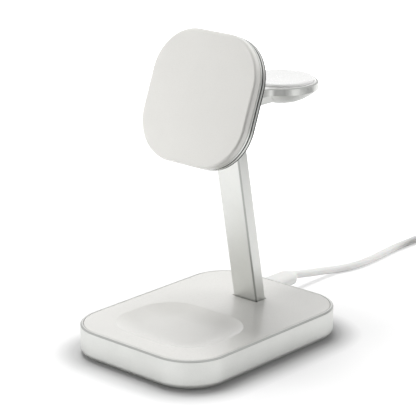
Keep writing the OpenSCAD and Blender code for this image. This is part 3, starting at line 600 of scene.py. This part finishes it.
def chamfer(bm, edges, size):
    bmesh.ops.bevel(
        bm, geom=edges, offset=size, offset_type="OFFSET", segments=1, affect="EDGES",
        profile=0.5, material=-1)


def arc(radius, z, steps):
    """Quarter round as (inset, height) points that rise from the lower face."""
    return [(radius * (1 - math.sin(math.pi / 2 * k / steps)),
             z + radius * (1 - math.cos(math.pi / 2 * k / steps))) for k in range(steps + 1)]


def ease(share):
    """Smooth change from 0 to 1 over a share that goes from 0 to 1."""
    return share * share * (3 - 2 * share)


def on_x(degrees):
    return Matrix.Rotation(math.radians(degrees), 4, "X")


def on_stem():
    """Frame of the stem: z runs up it from the top of the base."""
    return Matrix.Translation((0, STEM_Y, BASE_H)) @ Matrix.Rotation(STEM_LEAN, 4, "X")


def on_head():
    """Frame of the phone head: z is the depth behind its face and y runs down it."""
    return Matrix.Translation((0, HEAD_Y, HEAD_Z)) @ on_x(-90 - HEAD_TILT)


def cut_rim(top):
    """Test for the bright faces that slope within a millimetre of a top edge."""
    return lambda f: 0.5 < f.normal.z < 0.9 and f.calc_center_median().z > top - 1


def cut_long_edge(f):
    """Test for the bright faces along the stem's corners."""
    return abs(f.normal.x) > 0.4 and abs(f.normal.y) > 0.4


def add_object(name, data):
    made = bpy.data.objects.new(name, data)
    bpy.context.scene.collection.objects.link(made)
    return made


def mesh_object(bm, name, *materials):
    """Turns a bmesh into an object with its materials."""
    mesh = bpy.data.meshes.new(name)
    bm.to_mesh(mesh)
    bm.free()
    for material in materials:
        mesh.materials.append(material)
    return add_object(name, mesh)


def finish_piece(bm, name, body, slot, node, place=None, polished=None, thickness=0.0,
                 soften=True):
    """Turns a bmesh into a finished piece that rides on its body and stands for
    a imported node.

    polished tests which faces are cut bright."""
    finish = finishes()
    weld(bm)
    bmesh.ops.recalc_face_normals(bm, faces=bm.faces)
    for f in bm.faces:
        f.smooth = True
        f.normal_update()
        f.material_index = 1 if polished and polished(f) else 0
    if place is not None:
        bmesh.ops.transform(bm, matrix=place, verts=bm.verts)
    bmesh.ops.scale(bm, vec=(MM, MM, MM), verts=bm.verts)
    piece = mesh_object(bm, name, finish[slot], *([finish["polished"]] if polished else []))
    piece.data.set_sharp_from_angle(angle=CRISP)
    if thickness:
        wall = piece.modifiers.new("Wall", "SOLIDIFY")
        wall.thickness, wall.offset = thickness * MM, -1
    if soften:
        edge = piece.modifiers.new("Edge", "BEVEL")
        edge.width = bpy.context.scene.stand_sizes.edge_round
        edge.segments, edge.limit_method, edge.angle_limit = 2, "ANGLE", CRISP
    piece.modifiers.new("Even", "WEIGHTED_NORMAL")
    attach(piece, body)
    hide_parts(node)
    return piece


# Pieces of the base


def build_base():
    """Cast base: rounded foot, straight blasted wall, cut chamfer and narrow rim."""
    bm = bmesh.new()
    round_sweep(bm, BASE_W, BASE_D, BASE_R, arc(BASE_ROUND, BASE_LIFT, 8) + [
        (0, BASE_H - BASE_CHAMFER), (BASE_CHAMFER, BASE_H), (RIM_W, BASE_H),
        (RIM_W, SHELF_Z), (SHELF_W, SHELF_Z), (SHELF_W, SHELF_Z - SHELF_T),
        (WALL_T, SHELF_Z - SHELF_T), (WALL_T, FLANGE_HIGH), (FLANGE_W, FLANGE_HIGH),
        (FLANGE_W, FLANGE_LOW), (SKIRT_T, FLANGE_LOW), (SKIRT_T, BASE_LIFT)], closed=True)
    finish_piece(
        bm, "base_shell", "stand", "blasted_aluminium", "base_body", polished=cut_rim(BASE_H))


def build_panel():
    """Soft-touch panel: one flat skin with the dish pressed into it and the slot
    that the stem comes through."""
    bm = bmesh.new()
    round_sweep(bm, BASE_W, BASE_D, BASE_R, [
        (RIM_W + PANEL_GAP + inset, BASE_H - drop) for inset, drop in PANEL_EDGE])
    rim = set(bm.verts)
    shares = [k / DISH_STEPS for k in range(DISH_STEPS + 1)]
    round_sweep(bm, DISH_W, DISH_D, DISH_R, [
        (DISH_WALL * s, BASE_H - DISH_SINK * (1 - (1 - s) ** DISH_POWER)) for s in shares])
    dish = [v for v in bm.verts if v not in rim]
    bmesh.ops.translate(bm, verts=dish, vec=(0, DISH_Y, 0))
    face_at(bm, BASE_H - DISH_SINK)
    half = STEM_W / 2 + STEM_SLOT
    front = STEM_Y - STEM_SLOT / math.cos(STEM_LEAN)
    back = STEM_Y + (STEM_T + STEM_SLOT) / math.cos(STEM_LEAN)
    corners = [bm.verts.new((x, y, BASE_H)) for x, y in (
        (-half, front), (half, front), (half, back), (-half, back))]
    for pair in zip(corners, corners[1:] + corners[:1]):
        bm.edges.new(pair)
    cap(bm, ring_at(bm, BASE_H))
    finish_piece(bm, "soft_panel", "stand", "soft_grey", "top_panel", thickness=PANEL_T)


def build_foot():
    """Non-slip pad under the base."""
    bm = bmesh.new()
    round_sweep(bm, BASE_W, BASE_D, BASE_R, [
        (FOOT_INSET + inset, rise) for inset, rise in FOOT_EDGE] + [(FOOT_INSET, FOOT_T)])
    cap(bm, ring_at(bm, 0))
    cap(bm, ring_at(bm, FOOT_T))
    finish_piece(bm, "foot_mat", "stand", "grey_rubber", "foot_pad", soften=False)


# Stem


def bar(low, high):
    """Length of the stem's section with its long edges cut."""
    bm = bmesh.new()
    bmesh.ops.create_cube(bm, size=1)
    bmesh.ops.scale(bm, vec=(STEM_W, STEM_T, high - low), verts=bm.verts)
    bmesh.ops.translate(bm, vec=(0, STEM_T / 2, (low + high) / 2), verts=bm.verts)
    long_edges = [e for e in bm.edges if abs(e.verts[0].co.z - e.verts[1].co.z) > WELD]
    chamfer(bm, long_edges, STEM_CHAMFER)
    return bm


def build_stem():
    """Leaning bar and its end cap."""
    finish_piece(
        bar(-STEM_FOOT, STEM_LEN), "stem_bar", "stand", "blasted_aluminium", "stem",
        on_stem(), cut_long_edge)
    bm = bar(STEM_LEN + STEM_CAP_SEAM, STEM_LEN + STEM_CAP)
    top = [e for e in bm.edges if all(v.co.z > STEM_LEN + STEM_CAP / 2 for v in e.verts)]
    chamfer(bm, top, STEM_CAP_CUT)
    finish_piece(
        bm, "stem_end", "stand", "blasted_aluminium", "stem_cap", on_stem(), cut_long_edge)


# Watch arm


def arm_start():
    """Where the arm is drawn from, inside the stem, before it is trimmed."""
    back = STEM_Y + STEM_T / math.cos(STEM_LEAN) - (ARM_TOP - BASE_H) * math.tan(STEM_LEAN)
    return back - ARM_OVERRUN


def keyhole_sweep(bm, profile):
    """Sweeps a profile of (inset, height) points along the arm, round the disc
    and back."""
    x = ARM_W / 2 + NECK_R
    rise = math.sqrt((WATCH_R + NECK_R) ** 2 - x ** 2)
    start, y = arm_start(), WATCH_Y - rise
    bend = math.degrees(math.atan2(rise, x))
    sweep(bm, [(ARM_W / 2 - inset, start, z) for inset, z in profile], (
        (0, y - start), (x, y, -bend), (0, WATCH_Y, 180 + 2 * bend), (-x, y, -bend),
        (0, start - y)))


def join_ends(bm, z):
    """Joins the two open ends of a keyhole ring at one height."""
    ends = [v for v in bm.verts
            if abs(v.co.z - z) < WELD and abs(v.co.y - arm_start()) < WELD]
    bm.edges.new((min(ends, key=lambda v: v.co.x), max(ends, key=lambda v: v.co.x)))


def trim_at_stem(bm, gap, kept=()):
    """Cuts a shell off along the stem's rear face and closes the cut. Faces that
    are kept belong to another shell."""
    normal = Vector((0, math.cos(STEM_LEAN), math.sin(STEM_LEAN)))
    point = Vector((0, STEM_Y, BASE_H)) + normal * (STEM_T + gap)
    faces = [f for f in bm.faces if f not in kept]
    parts = list(dict.fromkeys(g for f in faces for g in (*f.verts, *f.edges)))
    cut = bmesh.ops.bisect_plane(
        bm, geom=parts + faces, dist=1e-5, plane_co=point, plane_no=normal,
        clear_inner=True)["geom_cut"]
    cap(bm, [g for g in cut if isinstance(g, bmesh.types.BMEdge)])


def build_arm():
    """Aluminium tray of the arm and disc: an upright wall round both, an arm
    that slopes in below it and a shallow dome under the disc."""
    bm = bmesh.new()
    low, seat, crease = ARM_TOP - ARM_H, ARM_TOP - COVER_T, ARM_TOP - ARM_WALL_H
    keyhole_sweep(bm, [
        (0, crease), (0, ARM_TOP - ARM_CHAMFER), (ARM_CHAMFER, ARM_TOP),
        (COVER_EDGE, ARM_TOP), (COVER_EDGE, seat)])
    for z in (crease, seat):
        join_ends(bm, z)
        cap(bm, ring_at(bm, z))
    cap(bm, open_edges(bm))
    weld(bm)
    trim_at_stem(bm, ARM_GAP)
    wall = set(bm.faces)

    half, lap = ARM_W / 2 - APART, crease + ARM_LAP
    end = bm.faces.new([bm.verts.new((x, arm_start(), z)) for x, z in (
        (-half, crease), (ARM_SLOPE - half, low), (half - ARM_SLOPE, low), (half, crease),
        (half - ARM_LAP, lap), (ARM_LAP - half, lap))])
    made = bmesh.ops.extrude_face_region(bm, geom=[end], use_keep_orig=True)["geom"]
    bmesh.ops.translate(
        bm, verts=[g for g in made if isinstance(g, bmesh.types.BMVert)],
        vec=(0, WATCH_Y - arm_start(), 0))
    trim_at_stem(bm, ARM_GAP, wall)

    middle = crease + math.sqrt(DOME_R ** 2 - WATCH_R ** 2)
    first = math.acos((middle - low + DOME_DROP) / DOME_R)
    last = math.asin(WATCH_R / DOME_R)
    angles = [first + (last - first) * k / DOME_STEPS for k in range(DOME_STEPS + 1)]
    turn_disc(bm, [(0, low - DOME_DROP)] + [
        (DOME_R * math.sin(a) - APART, middle - DOME_R * math.cos(a)) for a in angles
    ] + [(WATCH_R - ARM_LAP, lap), (0, lap)])
    finish_piece(
        bm, "arm_tray", "stand", "blasted_aluminium", "arm_frame", polished=cut_rim(ARM_TOP))


def build_arm_cover():
    """White cover in the tray, open under the raised disc."""
    bm = bmesh.new()
    bottom = ARM_TOP - COVER_T + DISC_SEAM
    keyhole_sweep(bm, [(COVER_EDGE + COVER_GAP, z) for z in (bottom, ARM_TOP)])
    hole = []
    for z in (bottom, ARM_TOP):
        join_ends(bm, z)
        spot = Matrix.Translation((0, WATCH_Y, z))
        hole += circle(bm, spot, DISC_R - DISC_HOLE, COVER_HOLE_STEPS)[1]
        cap(bm, ring_at(bm, z))
    bmesh.ops.bridge_loops(bm, edges=hole)
    cap(bm, open_edges(bm))
    bmesh.ops.recalc_face_normals(bm, faces=bm.faces)
    trim_at_stem(bm, COVER_GAP)
    finish_piece(bm, "arm_plate", "stand", "white_plastic", "arm_cover")


def build_watch_disc():
    """Raised charging disc with its shallow hollow, turned in one piece."""
    bm = bmesh.new()
    base = ARM_TOP + DISC_SEAM
    top, shoulder = base + DISC_RISE, DISC_R - DISC_SHOULDER
    shares = [k / DIP_STEPS for k in range(DIP_STEPS + 1)]
    dip = [(DISC_HOLLOW * s, top - DISC_DIP * (1 - s ** 2)) for s in shares]
    rim = [(DISC_R + DISC_ROUND * (math.cos(a) - 1), top + DISC_ROUND * (math.sin(a) - 1))
           for a in map(math.radians, range(90, -1, -10))]
    under = [(DISC_R, base + DISC_BREAK), (DISC_R - DISC_BREAK, base), (shoulder, base),
             (shoulder, base - DISC_SINK), (0, base - DISC_SINK)]
    turn_disc(bm, dip + rim + under)
    finish_piece(bm, "watch_puck", "stand", "white_plastic", "watch_disc", soften=False)


# Phone head


def head_sweep(bm, profile, closed=False):
    round_sweep(bm, HEAD_W, HEAD_W, HEAD_R, profile, closed)


def finish_head(bm, name, slot, node, polished=None):
    finish_piece(bm, name, "phone_head", slot, node, on_head(), polished, soften=False)


def build_pad():
    """Soft front cap of the phone head: a flat face with a rounded edge."""
    bm = bmesh.new()
    head_sweep(bm, arc(CAP_ROUND, 0, 10) + [
        (0, CAP_D - CAP_BREAK), (CAP_BREAK, CAP_D), (CAP_LIP, CAP_D)])
    face_at(bm, 0)
    face_at(bm, CAP_D)
    finish_head(bm, "pad_face", "soft_grey", "pad_cap")


def build_rings():
    """Aluminium frame behind the cap, with two bright rings between its grooves, and near-black
    bands that fill the grooves almost flush, as painted shade of the grooves."""
    bm = bmesh.new()
    profile = [(SEAM_D, RING_1 - SEAM_LIP), (SEAM_D, RING_1)]
    for ring, groove in ((RING_1, GROOVE_1), (RING_2, GROOVE_2)):
        profile += [
            (RING_BREAK, ring), (0, ring + RING_BREAK), (0, groove - RING_BREAK),
            (RING_BREAK, groove), (GROOVE_D, groove), (GROOVE_D, groove + GROOVE_W)]
    head_sweep(bm, profile)
    face_at(bm, RING_1 - SEAM_LIP)
    face_at(bm, REAR)
    finish_head(
        bm, "head_rings", "blasted_aluminium", "head_frame", lambda f: 0.3 < abs(f.normal.z) < 0.9)

    # Painted shade: near-black bands fill both grooves almost flush, so that they read dark
    bm = bmesh.new()
    for groove in (GROOVE_1, GROOVE_2):
        low, high = groove + BAND_GAP, groove + GROOVE_W - BAND_GAP
        head_sweep(bm, [
            (BAND_SINK, low), (BAND_SINK, high), (BAND_BACK, high), (BAND_BACK, low)], closed=True)
    finish_head(bm, "groove_shade_bands", "dark_rubber", "head_seals")


def build_back():
    """Rear cover of the head with recesses for its four screws."""
    bm = bmesh.new()
    top = REAR + REAR_T
    head_sweep(bm, [(GROOVE_D, REAR + REAR_SEAM)] + [
        (GROOVE_D + inset, top - drop) for inset, drop in REAR_EDGE])
    recesses = []
    for x in (-REAR_SCREW, REAR_SCREW):
        for y in (-REAR_SCREW, REAR_SCREW):
            recesses += circle(bm, Matrix.Translation((x, y, top)), RECESS_R, RECESS_STEPS)[1]
    cap(bm, ring_at(bm, top))
    face_at(bm, REAR + REAR_SEAM)
    cap(bm, extrude_run(bm, recesses, (0, 0, -RECESS_D)))
    finish_head(bm, "back_cover", "cover_plastic", "rear_cover")


# Cable


def coil_points():
    """Points along the eight and a half turns. Each turn keeps its place in the
    coil and moves to the next place just before the point where the lead comes in."""
    points = []
    total = len(TURNS) - 0.5
    count = round(total * TURN_POINTS)
    for k in range(count + 1):
        turn = total * k / count
        n = min(int(turn), len(TURNS) - 1)
        ring, layer = TURNS[n]
        move = (turn - n - TURN_KEPT) / (1 - TURN_KEPT)
        if move > 0 and n + 1 < len(TURNS):
            ring += (TURNS[n + 1][0] - ring) * ease(move)
            layer += (TURNS[n + 1][1] - layer) * ease(move)
        r = TURN_R + ring * CORD_D
        angle = math.pi - turn * math.tau
        points.append((
            COIL_X + r * math.cos(angle), COIL_Y + r * math.sin(angle),
            COIL_LIFT + CORD_D / 2 + layer * CORD_D))
    return points


def build_cord():
    """The whole cable on one curve, with its plugs and the tie of its coil."""
    sizes = bpy.context.scene.stand_sizes
    route = [*LEAD, *coil_points(), *TAIL]
    curve = bpy.data.curves.new("cable", "CURVE")
    curve.dimensions, curve.resolution_u, curve.use_fill_caps = "3D", 5, True
    curve.bevel_depth, curve.bevel_resolution = sizes.cord_diameter / 2, 5
    spline = curve.splines.new("BEZIER")
    spline.bezier_points.add(len(route) - 1)
    for point, place in zip(spline.bezier_points, route):
        point.co = Vector(place) * MM
        point.handle_left_type = point.handle_right_type = "AUTO"
    curve.materials.append(finishes()["cord_white"])
    cable = add_object("cable", curve)
    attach(cable, "stand")
    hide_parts("cord_lead", "cord_coil", "cord_tail")
    near = build_grip("plug_body", "plug_grip", PLUG_AT, PLUG_LEN)
    far = build_grip("far_plug_body", "far_grip", FAR_AT, FAR_LEN)
    tongue = build_tongue()
    tie = build_tie()


def build_grip(name, node, place, length):
    """Moulded grip: an oval body with softened ends that necks down to the cable."""
    bm = bmesh.new()
    half, radius, end = (GRIP_W - GRIP_T) / 2, GRIP_T / 2, CORD_D / 2 + GRIP_WALL
    sections = [(y, half, radius - loss) for y, loss in GRIP_NOSE]
    for k in range(TAPER_STEPS + 1):
        s = k / TAPER_STEPS
        y = length - TAPER_START + (TAPER_START + TAPER_LEN - GRIP_END_LEN) * s
        sections.append((y, half * (1 - ease(s)), radius + (end - radius) * ease(s)))
    sections.append((length + TAPER_LEN, 0, end - GRIP_END_ROUND))
    rings = []
    for y, flat, r in sections:
        spot = Matrix.Translation((place[0], place[1] + y, place[2]))
        verts, edges = circle(bm, spot @ on_x(90), r, GRIP_STEPS)
        for v in verts:
            v.co.x += flat if v.co.x > place[0] - WELD else -flat
        rings.append(edges)
    for a, b in zip(rings, rings[1:]):
        bmesh.ops.bridge_loops(bm, edges=a + b)
    for ring in (rings[0], rings[-1]):
        bmesh.ops.contextual_create(bm, geom=ring)
    return finish_piece(bm, name, "stand", "cord_white", node, soften=False)


def build_tongue():
    """Open metal shell of the far plug."""
    bm = bmesh.new()
    round_sweep(bm, TONGUE_W, TONGUE_H, TONGUE_H / 2 - APART, [
        (0, -TONGUE_SUNK), (0, TONGUE_LEN - TONGUE_TIP), (TONGUE_BREAK, TONGUE_LEN),
        (TONGUE_WALL, TONGUE_LEN), (TONGUE_WALL, TONGUE_FLOOR), (TONGUE_LIP, TONGUE_FLOOR)])
    cap(bm, ring_at(bm, TONGUE_FLOOR))
    cap(bm, ring_at(bm, -TONGUE_SUNK))
    return finish_piece(
        bm, "far_plug_tongue", "stand", "socket_steel", "far_shell",
        Matrix.Translation(FAR_AT) @ on_x(90), soften=False)


def build_tie():
    """Woven strip in a loop round the coil."""
    bm = bmesh.new()
    coil = 3 * CORD_D + 2 * TIE_T
    round_sweep(bm, coil + TIE_SLACK, coil + TIE_ROOM, CORD_D / 2 + TIE_CORNER, [
        (0, -TIE_W / 2), (0, TIE_W / 2), (TIE_T, TIE_W / 2), (TIE_T, -TIE_W / 2)], closed=True)
    # The loop's axis lies along x, its width across the coil and its height up it
    place = Matrix.Translation((COIL_X, COIL_Y + TURN_R, COIL_LIFT + 1.5 * CORD_D)) @ Matrix((
        (0, 0, 1, 0), (1, 0, 0, 0), (0, 1, 0, 0), (0, 0, 0, 1)))
    return finish_piece(bm, "cable_tie", "stand", "tie_fabric", "cord_tie", place)


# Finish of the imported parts


def finish_frame():
    """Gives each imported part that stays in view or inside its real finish."""
    slots = {
        "grey_rubber": ["foot_pad"],
        "cover_plastic": ["bottom_cover"],
        "screw_steel": [
            "cover_screws", "ballast_screws", "stem_screws", "hinge_screws", "hinge_bolt",
            "hinge_nut", "hinge_washers", "arm_screws", "rear_screws", "knuckle_screws"],
        "hinge_steel": ["ballast_plate", "hinge_bracket", "head_knuckle"],
        "circuit_board": ["base_board", "watch_board", "head_board"],
        "socket_steel": ["usb_socket", "plug_shell"],
        "copper": ["earbud_coil", "watch_coil", "phone_coil"],
        "ferrite": ["earbud_ferrite", "watch_ferrite", "phone_ferrite"],
        "magnet": ["watch_magnet", "phone_magnets"],
        "ribbon_film": ["stem_ribbon"],
    }
    for slot, nodes in slots.items():
        for name in nodes:
            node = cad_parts[name]
            node.data.materials.clear()
            node.data.materials.append(finishes()[slot])


# Stage


def facing(place, aim):
    """Turn that points a lamp, board or camera from its place to its aim."""
    return (Vector(aim) - Vector(place)).to_track_quat("-Z", "Y")


def lamp(name, place, aim, width, height, power):
    """Soft area lamp that lights the object and shows in nothing."""
    light = bpy.data.lights.new(name, "AREA")
    light.shape, light.size, light.size_y, light.energy = "RECTANGLE", width, height, power
    holder = add_object(name, light)
    holder.location = place
    holder.rotation_euler = facing(place, aim).to_euler()
    holder.visible_glossy = holder.visible_camera = False


def board(name, place, aim, width, height, level):
    """Grey board that only reflections see, which dims what the metal shows there."""
    bm = bmesh.new()
    bmesh.ops.create_grid(bm, x_segments=1, y_segments=1, size=0.5)
    bmesh.ops.scale(bm, vec=(width, height, 1), verts=bm.verts)
    turn = facing(place, aim).to_matrix().to_4x4()
    bmesh.ops.transform(bm, matrix=Matrix.Translation(place) @ turn, verts=bm.verts)
    paint = start_material(name, Roughness=1.0, Specular_IOR_Level=0.0)
    paint.shader.inputs["Base Color"].default_value = (level, level, level, 1)
    made = mesh_object(bm, name, paint.material)
    made.visible_camera = made.visible_diffuse = made.visible_shadow = False


def build_stage():
    """Camera, white floor, soft lamps and plain world."""
    scene = bpy.context.scene
    camera = bpy.data.cameras.new("Camera")
    camera.lens, camera.sensor_width = CAMERA_LENS, CAMERA_SENSOR
    camera.clip_end = CAMERA_REACH
    scene.camera = add_object("Camera", camera)
    scene.camera.location = CAMERA_AT
    scene.camera.rotation_euler = facing(CAMERA_AT, CAMERA_AIM).to_euler()
    scene.view_settings.view_transform = "Standard"

    bm = bmesh.new()
    bmesh.ops.create_circle(bm, cap_ends=True, radius=FLOOR_R, segments=96)
    paint = studio_floor("Studio floor", scene.stand_colours.floor)
    mesh_object(bm, "floor", paint)

    scene.world = bpy.data.worlds.new("Studio")
    scene.world.use_nodes = True
    tree = scene.world.node_tree
    tree.nodes.clear()
    level = add_node(
        tree, "ShaderNodeMapRange", {"To Min": ROOM_LIGHT, "To Max": ROOM_SEEN},
        {"Value": seen_rays(tree)})
    room = add_node(
        tree, "ShaderNodeBackground", {"Color": (1, 1, 1, 1)},
        {"Strength": level.outputs["Result"]})
    add_node(tree, "ShaderNodeOutputWorld", links={"Surface": room.outputs[0]})

    for name, facts in LAMPS.items():
        lamp(name, *facts)
    for name, facts in BOARDS.items():
        board(name, *facts)


# Operators and panel


class StandOperator:
    """What the operators share: each runs its makers in turn."""
    bl_options = {"REGISTER", "UNDO"}
    makers = ()

    def execute(self, context):
        for make in self.makers:
            make()
        return {"FINISHED"}


class STAND_OT_stage(StandOperator, bpy.types.Operator):
    """Set up the camera, floor and studio light"""
    bl_idname = "stand.stage"
    bl_label = "Studio"
    makers = (build_stage,)


class STAND_OT_cable(StandOperator, bpy.types.Operator):
    """Lay the cable with its plugs and tied coil"""
    bl_idname = "stand.cable"
    bl_label = "Cable"
    makers = (build_cord,)


class STAND_OT_base(StandOperator, bpy.types.Operator):
    """Build the weighted base with its soft panel, dish and foot"""
    bl_idname = "stand.base"
    bl_label = "Base"
    makers = (build_base, build_panel, build_foot)


class STAND_OT_stem(StandOperator, bpy.types.Operator):
    """Build the leaning stem and its end cap"""
    bl_idname = "stand.stem"
    bl_label = "Stem"
    makers = (build_stem,)


class STAND_OT_watch_arm(StandOperator, bpy.types.Operator):
    """Build the watch arm with its cover and charging disc"""
    bl_idname = "stand.watch_arm"
    bl_label = "Watch Arm"
    makers = (build_arm, build_arm_cover, build_watch_disc)


class STAND_OT_phone_head(StandOperator, bpy.types.Operator):
    """Build the tilting phone head"""
    bl_idname = "stand.phone_head"
    bl_label = "Phone Head"
    makers = (build_pad, build_rings, build_back)


class STAND_OT_finish_frame(StandOperator, bpy.types.Operator):
    """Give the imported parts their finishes"""
    bl_idname = "stand.finish_frame"
    bl_label = "Packed Parts"
    makers = (finish_frame,)


OPERATORS = (
    STAND_OT_stage, STAND_OT_cable, STAND_OT_base, STAND_OT_stem,
    STAND_OT_watch_arm, STAND_OT_phone_head, STAND_OT_finish_frame,
)


class STAND_PT_panel(bpy.types.Panel):
    """Sizes, colours and pieces of the stand"""
    bl_idname = "STAND_PT_panel"
    bl_label = "Charging Stand"
    bl_space_type = "VIEW_3D"
    bl_region_type = "UI"
    bl_category = "Charging Stand"

    def draw(self, context):
        for group in (context.scene.stand_sizes, context.scene.stand_colours):
            box = self.layout.box()
            for name in group.bl_rna.properties.keys():
                if name not in {"rna_type", "name"}:
                    box.prop(group, name)
        for operator in OPERATORS:
            self.layout.operator(operator.bl_idname)


CLASSES = (StandSizes, StandColours, *OPERATORS, STAND_PT_panel)


def register():
    for item in CLASSES:
        bpy.utils.register_class(item)
    bpy.types.Scene.stand_sizes = PointerProperty(type=StandSizes)
    bpy.types.Scene.stand_colours = PointerProperty(type=StandColours)


def unregister():
    del bpy.types.Scene.stand_colours
    del bpy.types.Scene.stand_sizes
    for item in reversed(CLASSES):
        bpy.utils.unregister_class(item)


def main():
    register()
    for operator in OPERATORS:
        getattr(bpy.ops.stand, operator.bl_idname.split(".")[1])()


if __name__ == "__main__":
    main()
